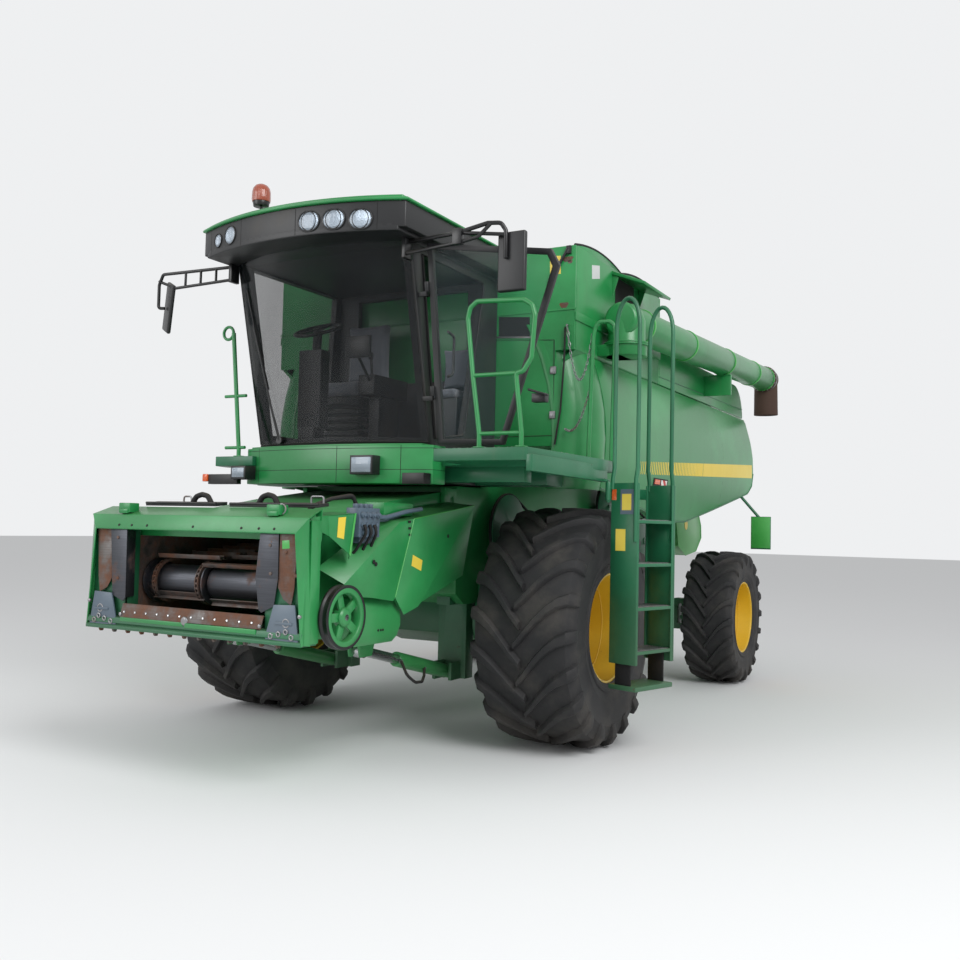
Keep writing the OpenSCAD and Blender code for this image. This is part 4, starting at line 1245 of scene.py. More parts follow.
    def corners(self) -> None:
        """Fits the corner plates with their ring bolts and lock pin holes."""
        front = self.front
        shape = Shape().plate([at(0.700, front + 0.014, 1.190), at(0.862, front + 0.014, 1.196),
                               at(0.898, front + 0.010, 0.975), at(0.645, front + 0.010, 0.982),
                               at(0.652, front + 0.012, 1.030)], (0, 0.012, 0))
        shape.block(at(0.72, front + 0.005, 1.075), at(0.85, front + 0.016, 1.090))
        shape.mirrored().piece("feeder_corner_plates", "feeder", Tone.BLUE_GREY, 0.002)
        rings = Shape()
        for x, z in ((0.690, 1.003), (0.750, 1.018), (0.805, 1.034), (0.848, 1.004)):
            rings.lathe(at(x, front + 0.012, z), (0, -1, 0),
                        [(0, 0.009), (0, 0.0185), (0.008, 0.0185), (0.010, 0.015),
                                                             (0.010, 0.011), (0.006, 0.009)], 20)
        for x, z in ((0.905, 1.130), (0.600, 1.055)):
            rings.lathe(at(x, front + 0.016, z), (0, -1, 0),
                        [(0, 0), (0, 0.013), (0.012, 0.012), (0.015, 0)], 16)
        rings.mirrored().piece("feeder_ring_bolts", "feeder", Tone.STEEL, 0.001)
        pins = Shape().lathe(at(0.800, front + 0.013, 1.085), (0, -1, 0),
                             [(-0.006, 0.020), (-0.006, 0.028),
                                                                 (0.003, 0.028), (0.003, 0.020)],
                                                                 28)
        pins.mirrored().piece("feeder_lock_rings", "feeder", Tone.STEEL, 0.001)

    def deflectors(self) -> None:
        """Hangs the bent steel plates that narrow the mouth."""
        front = self.front
        steel = Shape()
        steel.plate([at(0.575, front + 0.020, 1.622), at(0.716, front + 0.024, 1.618),
                     at(0.722, front + 0.020, 1.345),
                     at(0.553, front + 0.012, 1.345)], (0, 0.006, 0))
        steel.plate([at(0.553, front + 0.012, 1.345), at(0.722, front + 0.020, 1.345),
                     at(0.688, front + 0.030, 1.178),
                     at(0.592, front + 0.030, 1.135), at(0.569, front + 0.030, 1.150)],
                     (0, 0.006, 0))
        steel.plate([at(0.575, front + 0.020, 1.622), at(0.553, front + 0.012, 1.345),
                     at(0.569, front + 0.030, 1.150),
                     at(0.585, front + 0.105, 1.160), at(0.585, front + 0.105, 1.600)],
                     (0.005, 0, 0))
        steel.plate([at(-0.577, front + 0.018, 1.628), at(-0.567, front + 0.014, 1.166),
                     at(-0.590, front + 0.016, 1.140),
                     at(-0.700, front + 0.022, 1.176), at(-0.735, front + 0.022, 1.626)],
                     (0, 0.006, 0))
        steel.plate([at(-0.577, front + 0.018, 1.628), at(-0.567, front + 0.014, 1.166),
                     at(-0.585, front + 0.105, 1.170), at(-0.590, front + 0.105, 1.600)],
                     (-0.005, 0, 0))
        steel.piece("feeder_deflectors", "feeder", Tone.WORN, 0.0015)
        rusty = Shape()
        for s in (-1, 1):
            rusty.plate([at(s * 0.722, front + 0.030, 1.620), at(s * 0.862, front + 0.026, 1.620),
                         at(s * 0.845, front + 0.026, 1.300), at(s * 0.826, front + 0.024, 1.190),
                         at(s * 0.760, front + 0.028, 1.225), at(s * 0.716, front + 0.030, 1.294)],
                         (0, 0.006, 0))
        rusty.piece("feeder_outer_deflectors", "feeder", Tone.RUSTY, 0.0015)
        patch = Shape().plate([at(0.740, front + 0.0275, 1.575), at(0.795, front + 0.0275, 1.580),
                               at(0.800, front + 0.0275, 1.530), at(0.742, front + 0.0275, 1.525)],
                               (0, 0.003, 0))
        patch.piece("feeder_paint_patch", "feeder", FRESH, 0.001)
        studs = Shape()
        for x, y, z in ((0.655, 0.022, 1.545), (0.775, 0.026, 1.508),
                        (0.668, 0.017, 1.375), (0.862, 0.020, 1.370),
                        (0.662, 0.028, 1.565), (-0.660, 0.020, 1.560), (-0.650, 0.020, 1.290)):
            studs.lathe(at(x, front + y, z), (0, -1, 0),
                        [(-0.003, 0), (-0.003, 0.011), (0.006, 0.010), (0.008, 0)], 14)
        studs.piece("feeder_deflector_bolts", "feeder", Tone.RUSTY, 0.0)

    def brackets(self) -> None:
        """Stands the hook boxes and the latch handles on the lip."""
        shape = Shape()
        for x in (-0.632, 0.655):
            shape.block(at(x - 0.052, -2.604, 1.728), at(x + 0.052, -2.520, 1.792))
            shape.block(at(x - 0.040, -2.612, 1.722), at(x + 0.040, -2.590, 1.752))
        shape.piece("feeder_hook_boxes", "feeder", GREEN, 0.006)
        ring = Shape().tube(arc(at(0.700, -2.575, 1.765), 0.030,
                                -80, 110, 12, (1, 0, 0), (0, 0, 1)), 0.005, 8)
        ring.piece("feeder_hook_ring", "feeder", Tone.STEEL, 0.0)

    def build(self) -> None:
        """Builds the front frame."""
        self.lip()
        self.flanges()
        self.beam()
        self.strip()
        self.corners()
        self.deflectors()
        self.brackets()


@dataclass
class FeederChain:
    """The drum, chains and slats seen through the feeder's mouth."""

    drum_y: float = -2.30
    drum_z: float = 1.272
    drum_radius: float = 0.112
    reach: float = 0.60

    def drum(self) -> None:
        """Turns the drum in two halves with its discs and chain wheel."""
        shape, y, z, r = Shape(), self.drum_y, self.drum_z, self.drum_radius
        shape.lathe(at(0, y, z), (1, 0, 0), [(-0.625, 0), (-0.625, r), (-0.155, r), (-0.155, 0)],
                    64)
        shape.lathe(at(0, y, z), (1, 0, 0), [(-0.05, 0), (-0.05, r), (0.625, r), (0.625, 0)], 64)
        shape.rod(at(-0.16, y, z), at(-0.04, y, z), 0.05, 24)
        shape.piece("feeder_drum_halves", "feeder", Tone.WORN, 0.003, replaces=["feeder_drum"])
        rims = Shape()
        for x in (-0.600, -0.070, 0.590):
            rims.lathe(at(x, y, z), (1, 0, 0), [(-0.006, r - 0.02),
                                                (-0.006, r + 0.036), (0.006, r + 0.036),
                                                (0.006, r - 0.02)], 64)
        rims.piece("feeder_drum_rims", "feeder", Tone.WORN, 0.002)

    def chains(self) -> None:
        """Runs the three link chains over the drum."""
        y, z, r = self.drum_y, self.drum_z, self.drum_radius + 0.028
        spots = []
        for x in (-0.500, -0.112, 0.480):
            round_part = [(y + r * math.cos(a), z + r * math.sin(a)) for a in
                          (math.radians(90 + 180 * k / 14) for k in range(15))]
            upper = [(y + 0.034 * k, z + r + 0.004 * k) for k in range(32, 0, -1)]
            lower = [(y + 0.034 * k, z - r + 0.003 * k) for k in range(1, 22)]
            run = upper + round_part + lower
            for first, second in zip(run, run[1:]):
                spots.append((x, first, second))
        shape = Shape()
        for x, first, second in spots:
            middle = at(x, (first[0] + second[0]) / 2, (first[1] + second[1]) / 2)
            lean = math.atan2(second[1] - first[1], second[0] - first[0])
            turn = Matrix.Translation(middle) @ Matrix.Rotation(lean, 4, "X")
            for side in (-1, 1):
                shape.block((side * 0.012 - 0.003, -0.018, -0.010),
                            (side * 0.012 + 0.003, 0.018, 0.010), turn)
            shape.block((-0.016, 0.010, -0.007), (0.016, 0.022, 0.007), turn)
        shape.piece("feeder_chains", "feeder", Tone.RUSTY, 0.0)

    def slats(self) -> None:
        """Bolts the staggered slats between the chains."""
        shape, r = Shape(), self.drum_radius + 0.04
        # rows: low x, high x, y, z
        rows = [(-0.530, 0.030, -2.36, 1.440), (-0.085, 0.500, -2.395, 1.395),
                (-0.530, -0.070, -2.405, 1.190), (-0.040, 0.500, -2.375, 1.160)]
        for k in range(7):
            rows.append((-0.530, -0.085, -2.20 + 0.15 * k, self.drum_z + r + 0.018 * k + 0.004))
            rows.append((-0.085, 0.500, -2.13 + 0.15 * k, self.drum_z + r + 0.018 * k + 0.010))
        for low, high, y, z in rows:
            lean = math.atan2(z - self.drum_z,
                              y - self.drum_y) - math.pi / 2 if y < self.drum_y else 0.12
            turn = Matrix.Translation(at(0, y, z)) @ Matrix.Rotation(lean, 4, "X")
            shape.block((low, -0.022, -0.004), (high, 0.022, 0.002), turn)
            shape.block((low, -0.022, -0.002), (high, -0.016, 0.026), turn)
        shape.piece("feeder_slats", "feeder", Tone.RUSTY, 0.001)

    def worn_and_shaded_sides(self) -> None:
        """Darkens the inside of the mouth with worn, rusty side sheets, whose dark also paints the
        shade inside the mouth.
        """
        shape = Shape()
        for s in (-1, 1):
            shape.block(at(s * 0.630, -2.478, 1.02), at(s * 0.626, -1.30, 1.585))
        # worn steel and painted shade in one: dark rusty sheets on the mouth's inner walls
        shape.piece("feeder_worn_sides_painted_shade", "feeder", Tone.RUSTY, 0.0)

    def build(self) -> None:
        """Builds what shows in the mouth."""
        self.drum()
        self.chains()
        self.slats()
        self.worn_and_shaded_sides()


@dataclass
class FeederTop:
    """Hatches with their handles on the feeder's roof."""

    front: float = -2.43
    back: float = -2.32

    def build(self) -> None:
        """Builds the black hatches with their handles."""
        shape = Shape()
        front, back, z0, z1 = self.front, self.back, 1.778, 1.790
        for low, high in ((-0.62, 0.02), (0.14, 0.86)):
            shape.plate([at(low, front, z0), at(high, front, z0),
                         at(high, back, z1), at(low, back, z1)],
                        (0, 0, 0.022))
            shape.tube([at(low, front + 0.004, z0 + 0.02), at(high, front + 0.004, z0 + 0.02)],
                       0.009, 10)
        shape.piece("feeder_hatches", "feeder", BLACK, 0.004)
        humps = Shape()
        for x, wide in ((-0.15, 0.085), (0.42, 0.08)):
            path = [at(x - wide, -2.38, 1.795), at(x - wide * 0.6, -2.38, 1.845),
                    at(x, -2.38, 1.858),
                    at(x + wide * 0.6, -2.38, 1.848), at(x + wide, -2.38, 1.80)]
            humps.tube(bent(path, 0.04), 0.018, 10)
        humps.piece("feeder_hatch_grips", "feeder", Tone.SEAL, 0.0)
        wires = Shape()
        for x, wide, tall in ((-0.30, 0.035, 0.055), (0.80, 0.048, 0.060)):
            path = [at(x - wide, -2.36, 1.79), at(x - wide, -2.36, 1.79 + tall),
                    at(x + wide, -2.36, 1.79 + tall),
                    at(x + wide, -2.36, 1.79)]
            wires.tube(bent(path, 0.018), 0.006, 8)
        wires.piece("feeder_hatch_wires", "feeder", Tone.STEEL, 0.0)


def sheet(shape: Shape, corners: Sequence[Sequence[float]], thick: Point = (-0.006, 0, 0)) -> None:
    """Adds one flat panel of sheet metal, its corners in metres from the front axle."""
    shape.plate([at(*corner) for corner in corners], thick)


def label(name: str, body: str, corners: Sequence[Sequence[float]], tone: Tone = Tone.LABEL,
          lift: Point = (0.0012, 0, 0)) -> bpy.types.Object:
    """Sticks a thin blank label on a panel.

    Args:
        name: the label's name.
        body: the CAD body it moves with.
        corners: its corners in metres from the front axle, on the panel.
        tone: its finish.
        lift: vector across its thickness.

    Returns:
        The label.
    """
    return Shape().plate([at(*corner) for corner in corners],
                         lift).piece(name, body, tone, 0.0004, 1)


@dataclass
class FeederSide:
    """Folded covers, drive pulley, valve block and hoses on the feeder's left side."""

    fold: float = 0.928
    edge: float = 0.902
    pulley: tuple[float, float] = (-2.290, 1.110)

    def cover(self) -> None:
        """Folds the large cover over the drives."""
        f, e, shape = self.fold, self.edge, Shape()
        low_tip, high_fold, low_fold = (f - 0.01, -1.531, 1.072), (f, -1.449,
                                                                   1.729), (f, -1.659, 1.198)
        rear_high, rear_low = (f, -0.597, 1.846), (f, -1.331, 1.146)
        sheet(shape, [(e, -2.196, 1.304), (e, -2.192, 1.229), (e + 0.008, -1.900, 1.205),
                      (f, -1.682, 1.173),
                      low_fold, high_fold, (e + 0.01, -1.598, 1.704)])
        sheet(shape, [low_fold, low_tip, (f, -1.372, 1.117), rear_low, rear_high, high_fold])
        sheet(shape, [rear_low, (e - 0.03, -0.659, 1.309), (e - 0.03, -0.575, 1.800), rear_high])
        sheet(shape, [(e, -2.196, 1.304), (e + 0.01, -1.598, 1.704),
                      (0.780, -1.620, 1.740), (0.770, -2.310, 1.405)],
              (0, 0.004, -0.004))
        sheet(shape, [(e + 0.01, -1.598, 1.704), high_fold, rear_high,
                      (0.70, -0.640, 1.870), (0.70, -1.62, 1.745)],
              (0, 0, -0.005))
        shape.piece("feeder_side_cover", "feeder", GREEN, 0.0015, replaces=["feeder_shields"])
        # painted highlight: bright green lines along the cover's two folds
        fold_highlights = Shape()
        fold_highlights.tube([at(f + 0.001, -1.449, 1.729), at(f + 0.001, -1.659, 1.198)], 0.003, 6)
        fold_highlights.tube([at(f + 0.001, -1.449, 1.729), at(f + 0.001, -0.597, 1.846)], 0.003, 6)
        fold_highlights.piece("feeder_cover_fold_highlights", "feeder", FRESH, 0.0)
        # painted shade: black discs and slots stand for holes, dark as the shade seen through them
        shaded_holes = Shape()
        for y, z in ((-1.905, 1.440), (-1.880, 1.425), (-0.985, 1.610)):
            shaded_holes.disc(at(f + 0.0005 if y > -1 else e + 0.018, y, z), (1, 0, 0), 0.014, 0.004, 14)
        for k in range(3):
            shaded_holes.block(at(f - 0.002, -1.520 + 0.004 * k, 1.700 - 0.045 * k),
                        at(f + 0.002, -1.490 + 0.004 * k, 1.716 - 0.045 * k))
        shaded_holes.piece("feeder_cover_holes_painted_shade", "feeder", Tone.SEAL, 0.0)
        label("feeder_cover_label", "feeder", [(f + 0.001, -1.455, 1.480),
                                               (f + 0.001, -1.330, 1.440),
                                               (f + 0.001, -1.345, 1.365),
                                               (f + 0.001, -1.470, 1.405)])

    def skirt(self) -> None:
        """Bends the lower skirt round the drive."""
        # rows: z, X, front Y, rear Y
        rows = [(1.215, 0.835, -2.060, -1.600), (1.150, 0.868, -2.050, -1.560),
                (1.080, 0.888, -2.045, -1.530),
                (1.000, 0.895, -2.035, -1.540), (0.930, 0.884, -2.030, -1.565),
                (0.892, 0.862, -2.024, -1.590)]
        shape = Shape()
        points = []
        for z, x, front, rear in rows:
            points += [at(x, front, z), at(x, rear, z), at(x - 0.006, rear, z),
                       at(x - 0.006, front, z)]
        faces = []
        for i in range(len(rows) - 1):
            for a, b in ((0, 1), (1, 2), (2, 3), (3, 0)):
                faces.append((4 * i + a, 4 * i + b, 4 * i + 4 + b, 4 * i + 4 + a))
        last = 4 * (len(rows) - 1)
        shape.add(points, [*faces, (0, 3, 2, 1), (last, last + 1, last + 2, last + 3)])
        shape.block(at(0.655, -2.02, 0.905),
                    at(0.858, -2.01, 1.20)).block(at(0.655, -1.61, 0.905), at(0.858, -1.60, 1.20))
        shape.piece("feeder_skirt", "feeder", GREEN, 0.001)
        # painted shade: black discs stand for holes, dark as the shade seen through them
        shaded_dots = Shape()
        for y in (-1.800, -1.770, -1.745):
            shaded_dots.disc(at(0.8955, y, 0.985), (1, 0, 0), 0.008, 0.004, 12)
        shaded_dots.piece("feeder_skirt_holes_painted_shade", "feeder", Tone.SEAL, 0.0)

    def bracket(self) -> None:
        """Folds the triangular bracket behind the front frame."""
        shape, f = Shape(), 0.912
        sheet(shape, [(0.905, -2.509, 1.722), (f, -2.395, 1.733),
                      (f, -2.375, 1.606), (0.905, -2.520, 1.655)])
        sheet(shape, [(f, -2.395, 1.733), (f, -2.115, 1.752), (f, -2.165, 1.492),
                      (f, -2.375, 1.606)])
        sheet(shape, [(f, -2.115, 1.752), (f - 0.035, -2.070, 1.757),
                      (f - 0.035, -2.120, 1.460), (f, -2.165, 1.492)])
        sheet(shape, [(0.905, -2.509, 1.722), (f, -2.395, 1.733),
                      (f, -2.115, 1.752), (0.72, -2.115, 1.76),
                      (0.72, -2.50, 1.735)], (0, 0, -0.005))
        shape.piece("feeder_bracket", "feeder", GREEN, 0.0015)
        # painted highlight: a bright green strip along the bracket's fold edge
        fold_highlight = Shape()
        sheet(fold_highlight, [(f + 0.001, -2.122, 1.752), (f + 0.001, -2.104, 1.754),
                       (f + 0.001, -2.153, 1.480),
                       (f + 0.001, -2.171, 1.492)], (0.002, 0, 0))
        fold_highlight.piece("feeder_bracket_fold_highlight", "feeder", FRESH, 0.0005)
        label("feeder_bracket_label", "feeder", [(f + 0.001, -2.290, 1.722),
                                                 (f + 0.001, -2.213, 1.728),
                                                 (f + 0.001, -2.230, 1.588),
                                                 (f + 0.001, -2.300, 1.600)])

    def valves(self) -> None:
        """Stacks the hydraulic coupling block with its pipe and hoses."""
        shape = Shape()
        shape.block(at(0.800, -2.060, 1.600), at(0.905, -1.830, 1.790))
        shape.block(at(0.770, -2.020, 1.560), at(0.880, -1.870, 1.600))
        for k in range(4):
            y = -2.030 + 0.055 * k
            shape.lathe(at(0.905, y, 1.745), (1, 0, 0),
                        [(-0.005, 0), (-0.005, 0.020), (0.018, 0.020), (0.018, 0.014),
                                                        (0.030, 0.013), (0.030, 0)], 18)
            shape.lathe(at(0.905, y, 1.680), (1, 0, 0),
                        [(-0.005, 0), (-0.005, 0.017), (0.012, 0.017), (0.012, 0)], 6)
            shape.lathe(at(0.850, y, 1.785), (0, 0, 1),
                        [(0, 0), (0, 0.018), (0.030, 0.018), (0.034, 0.012), (0.034, 0)], 18)
        shape.lathe(at(0.905, -2.000, 1.630), (1, 0, 0),
                    [(-0.005, 0), (-0.005, 0.030), (0.02, 0.030), (0.02, 0)], 24)
        shape.piece("feeder_valve_block", "feeder", Tone.BLUE_GREY, 0.003)
        pipes = Shape()
        pipes.tube(bent([at(0.86, -1.84, 1.73), at(0.87, -1.70, 1.735),
                         at(0.90, -1.52, 1.775), at(0.89, -1.30, 1.800)],
                        0.05), 0.016, 10)
        pipes.tube(bent([at(0.82, -1.84, 1.70), at(0.83, -1.66, 1.715), at(0.84, -1.30, 1.790)],
                        0.05), 0.012, 10)
        pipes.piece("feeder_valve_pipes", "feeder", Tone.BLUE_GREY, 0.0)
        hoses = Shape()
        hoses.tube(bent([at(0.85, -2.03, 1.815), at(0.85, -2.06, 1.87),
                         at(0.80, -2.22, 1.84), at(0.74, -2.34, 1.79)],
                        0.06), 0.013, 10)
        hoses.tube(bent([at(0.82, -1.975, 1.815), at(0.80, -2.0, 1.86),
                         at(0.70, -2.12, 1.84), at(0.60, -2.20, 1.77)],
                        0.06), 0.011, 10)
        for k in range(3):
            start = at(0.925, -2.030 + 0.055 * k, 1.680)
            hoses.tube(bent([start, start + Vector((0.02, 0, -0.05)),
                             start + Vector((-0.06, 0.02 * k, -0.16)),
                             start + Vector((-0.14, 0.03 * k, -0.24))], 0.05), 0.010, 10)
        hoses.piece("feeder_hoses", "feeder", Tone.SEAL, 0.0)
        box = Shape().block(at(0.70, -1.72, 1.745), at(0.86, -1.36, 1.835))
        box.piece("feeder_tool_box", "feeder", GREEN, 0.006)

    def drive(self) -> None:
        """Turns the spoked pulley with its grooved rim, shaft and nut."""
        y, z = self.pulley
        shape = Shape()
        shape.lathe(at(0.965, y, z), (1, 0, 0), [(-0.030, 0.150),
                                                 (-0.030, 0.182), (0.033, 0.182), (0.033, 0.150),
                                               (0.022, 0.146), (0.0, 0.142), (-0.02, 0.146)], 72)
        shape.lathe(at(0.965, y, z), (1, 0, 0), [(-0.030, 0), (-0.030, 0.060),
                                                 (0.020, 0.060), (0.034, 0.045), (0.034, 0)], 40)
        for k in range(5):
            angle = 2 * math.pi * k / 5 + 0.3
            turn = Matrix.Translation(at(0.965, y, z)) @ Matrix.Rotation(angle, 4, "X")
            shape.block((-0.010, -0.028, 0.04), (0.010, 0.028, 0.150), turn)
        shape.piece("feeder_pulley_spokes", "feeder_pulley", GREEN,
                    0.004, replaces=["feeder_pulley"])
        rim = Shape().lathe(at(0.965, y, z), (1, 0, 0),
                            [(-0.034, 0.180), (-0.034, 0.199), (-0.022, 0.199),
                            (-0.010, 0.188), (0.010, 0.188), (0.022, 0.199),
                            (0.034, 0.199), (0.034, 0.180)], 96)
        rim.rod(at(0.655, y, z), at(0.96, y, z), 0.029, 24)
        rim.piece("feeder_pulley_rim", "feeder_pulley", Tone.SATIN, 0.002)
        Shape().lathe(at(0.998, y, z), (1, 0, 0),
                      [(-0.01, 0), (-0.01, 0.022), (0.001, 0.022), (0.001, 0)], 6).piece(
            "feeder_pulley_nut", "feeder_pulley", Tone.STEEL, 0.001)

    def lift_hose(self) -> None:
        """Loops the left lift cylinder's hose under its barrel."""
        path = [(0.585, -1.060, 0.690), (0.640, -1.110, 0.665),
                (0.720, -1.170, 0.600), (0.760, -1.120, 0.545), (0.730, -0.980, 0.530),
                (0.660, -0.840, 0.550), (0.610, -0.760, 0.590), (0.585, -0.720, 0.610)]
        hose = Shape()
        hose.tube(bent([at(*p) for p in path], 0.05), 0.011, 12)
        hose.piece("lift_hose", "lift_barrels", Tone.SEAL, 0.0)
        ends = Shape()
        for first, last in ((path[0], path[1]), (path[-1], path[-2])):
            way = (at(*last) - at(*first)).normalized()
            ends.rod(at(*first) - way * 0.02, at(*first) + way * 0.04, 0.016, 6)
        ends.piece("lift_hose_ends", "lift_barrels", Tone.STEEL, 0.0)

    def build(self) -> None:
        """Builds the left side of the feeder."""
        self.cover()
        self.skirt()
        self.bracket()
        self.valves()
        self.drive()
        self.lift_hose()


def bowed(shape: Shape, front: float, half: tuple[float, float],
          rear: float, low: float, high: float,
          radius: float = 2.3, middle: float = 0.0) -> None:
    """Adds a panel whose front edge is bowed in plan.

    Args:
        shape: what it is added to.
        front: its foremost Y.
        half: its right and left ends in X.
        rear: its rear Y.
        low: its underside.
        high: its top.
        radius: radius of the bow.
        middle: X of the bow's middle.
    """
    right, left = half
    edge = [right + (left - right) * k / 28 for k in range(29)]
    curve = [(x, front + radius - math.sqrt(radius ** 2 - (x - middle) ** 2)) for x in edge]
    outline = [at(x, y, low) for x, y in [*curve, (left, rear), (right, rear)]]
    shape.plate(outline, (0, 0, high - low))


@dataclass
class Cab:
    """The cab: bonded windscreen, bowed band, roof, lamps, wiper and what shows inside."""

    radius: float = 1.8678
    lean: float = math.radians(13)
    sill: float = 2.29
    head: float = 3.725
    fascia: tuple[float, float] = (3.705, 3.9147)
    station: float = -0.33
    roof_bow: float = 2.3
    band_bow: float = 3.04
    band_middle: float = 0.02
    # columns: X, Z, radius, half spread
    roof_lamps: tuple[tuple[float, float, float, float], ...] = (
        (-0.712, 3.805, 0.055, 0.0), (-0.550, 3.815, 0.074, 0.0), (0.236, 3.803, 0.077, 0.014),
        (0.432, 3.800, 0.077, 0.014), (0.628, 3.790, 0.077, 0.014))

    def on_glass(self, x: float, z: float, out: float = 0.0) -> Vector:
        """Returns the point of the windscreen's surface at a width and a height, moved outwards."""
        radius = self.radius + out
        depth = math.sqrt(radius ** 2 - x ** 2)
        along = (z - self.sill + depth * math.sin(self.lean)) / math.cos(self.lean)
        return at(x, -1.215 + self.radius - along * math.sin(self.lean)
                  - depth * math.cos(self.lean), z)

    def windscreen(self) -> None:
        """Bonds the curved windscreen over the front frame and glazes the right window."""
        shape, across, rows = Shape(), 28, 6
        points = []
        for out in (0.0015, 0.0075):
            for r in range(rows + 1):
                for c in range(across + 1):
                    points.append(self.on_glass(-0.797 + 1.594 * c / across,
                                                2.300 + (self.head - 2.300) * r / rows, out))
        wide, layer = across + 1, (across + 1) * (rows + 1)
        faces = []
        for r in range(rows):
            for c in range(across):
                corner = r * wide + c
                quad = (corner, corner + 1, corner + wide + 1, corner + wide)
                faces += [tuple(reversed(quad)), tuple(layer + i for i in quad)]
        rim = ([*range(across)] + [r * wide + across for r in range(rows)]
               + [rows * wide + c for c in range(across, 0, -1)]
               + [r * wide for r in range(rows, 0, -1)])
        for first, second in zip(rim, [*rim[1:], rim[0]]):
            faces.append((first, second, layer + second, layer + first))
        shape.add(points, faces)
        shape.plate([at(-0.790, y, z) for y, z in ((-1.0, 2.3905),
                                                   (-0.3005, 2.3905), (-0.2005, 3.6895),
                                                   (-1.289, 3.6895))], (0.006, 0, 0))
        shape.piece("cab_windscreen", "machine", Tone.TINTED, 0.0, replaces=["cab_glass"])
        seal = Shape()
        for x in (-0.800, 0.800):
            seal.tube([self.on_glass(x, z / 100, 0.002) for z in range(231, 372, 20)], 0.006, 8)
        seal.tube([self.on_glass(-0.8 + 0.1 * k, 2.298, 0.002) for k in range(17)], 0.007, 8)
        seal.piece("cab_windscreen_seal", "machine", Tone.SEAL, 0.0)

    def wiper(self) -> None:
        """Parks the wiper along the right edge of the windscreen."""
        shape = Shape()
        arm = [(-0.480, 2.330), (-0.540, 2.60), (-0.600, 2.95), (-0.650, 3.22)]
        shape.tube([self.on_glass(x, z, 0.030) for x, z in arm], [0.011, 0.009, 0.007, 0.006], 10)
        blade = [(-0.560, 2.72), (-0.610, 2.98), (-0.660, 3.24), (-0.700, 3.50)]
        shape.tube([self.on_glass(x, z, 0.014) for x, z in blade], 0.007, 8)
        shape.disc(self.on_glass(-0.480, 2.325, 0.022), (0, -1, 0), 0.028, 0.034, 20)
        shape.piece("cab_wiper", "machine", Tone.SATIN, 0.0)

    def band(self) -> None:
        """Bows the green band under the windscreen, with its seams and the low bracket."""
        shape = Shape()
        bowed(shape, -1.305, (-0.860, 0.900), -1.000, 1.985, 2.268, self.band_bow, self.band_middle)
        bowed(shape, -1.296, (-0.812, 0.812), -1.050, 2.262, 2.2795,
              self.band_bow, self.band_middle)
        shape.piece("cab_band", "machine", GREEN, 0.006, 3)
        grooves = Shape()
        for low in (2.086, 2.243):
            bowed(grooves, -1.3056, (-0.8604, 0.9004), -1.010,
                  low, low + 0.0035, self.band_bow, self.band_middle)
        for x in (-0.700, 0.130, 0.660):
            y = -1.305 + self.band_bow - math.sqrt(self.band_bow ** 2 - (x - self.band_middle) ** 2)
            grooves.block(at(x, y - 0.0006, 1.988), at(x + 0.004, y + 0.02, 2.265))
        grooves.piece("cab_band_seams", "machine", Tone.SEAL, 0.0)
        bracket = Shape()
        bracket.block(at(0.711, -1.290, 1.980), at(0.896, -1.190, 2.060))
        bracket.block(at(-1.160, -1.300, 1.980), at(-0.850, -1.250, 2.060))
        bracket.piece("cab_step_brackets", "machine", BLACK, 0.004)
        marker = Shape().block(at(-1.215, -1.312, 2.000), at(-1.160, -1.290, 2.062))
        marker.piece("cab_marker_lamp", "machine", Tone.AMBER, 0.008, 3)

    def roof(self) -> None:
        """Sets the thin green cap on the tall dark fascia."""
        cap = Shape()
        bowed(cap, -1.870, (-0.950, 0.950), -0.075, 3.915, 3.935)
        bowed(cap, -1.835, (-0.900, 0.900), -0.100, 3.930, 3.960)
        cap.piece("cab_roof_cap", "machine", GREEN, 0.009, 3, replaces=["cab_roof"])
        shape = Shape()
        bowed(shape, -1.850, (-0.882, 0.882), -1.345, self.fascia[0], 3.760)
        shape.block(at(-0.818, -1.360, self.fascia[0]), at(0.818, -0.085, 3.760))
        bowed(shape, -1.850, (-0.930, 0.930), -0.085, 3.730, self.fascia[1])
        shape.piece("cab_roof_fascia", "machine", BLACK, 0.008, 3, replaces=["roof_fascia"])
        lines = Shape()
        for x in (-0.82, -0.42, 0.12, 0.74):
            y = -1.850 + self.roof_bow - math.sqrt(self.roof_bow ** 2 - x ** 2)
            lines.block(at(x, y - 0.001, 3.715), at(x + 0.004, y + 0.02, 3.905))
        lines.piece("cab_roof_seams", "machine", Tone.SEAL, 0.0)

    def lamps(self) -> None:
        """Fits the roof lamps in their bezels and the two work lamps at the band."""
        lens, bezel = Shape(), Shape()
        for x, z, radius, spread in self.roof_lamps:
            out = Vector((x / self.roof_bow, -math.sqrt(1 - (x / self.roof_bow) ** 2), 0))
            face = at(0, 0.45, z) + self.roof_bow * out
            side = Vector((-out.y, out.x, 0))
            for shift in sorted({-spread, spread}):
                spot = face + side * shift
                lens.lathe(spot, out, [(-0.03, 0), (-0.03, radius * 0.86), (0.003, radius * 0.86),
                                       (0.007, radius * 0.6), (0.009, 0)], 36)
                bezel.lathe(spot, out, [(-0.03, radius * 0.84), (-0.03, radius), (0.007, radius),
                                        (0.009, radius * 0.93), (0.001, radius * 0.84)], 36)
        for low, high in (((-0.891, -1.330, 2.018), (-0.741, -1.200, 2.122)),
                          ((0.301, -1.365, 2.047), (0.501, -1.200, 2.187))):
            bezel.block(at(*low), at(*high))
            lens.block(at(low[0] + 0.014, low[1] - 0.004, low[2] + 0.014),
                       at(high[0] - 0.014, low[1] + 0.02, high[2] - 0.014))
        lens.piece("lamp_lenses", "machine", Tone.LAMP, 0.003, 2, replaces=["lamps"])
        bezel.piece("lamp_bezels", "machine", BLACK, 0.003)

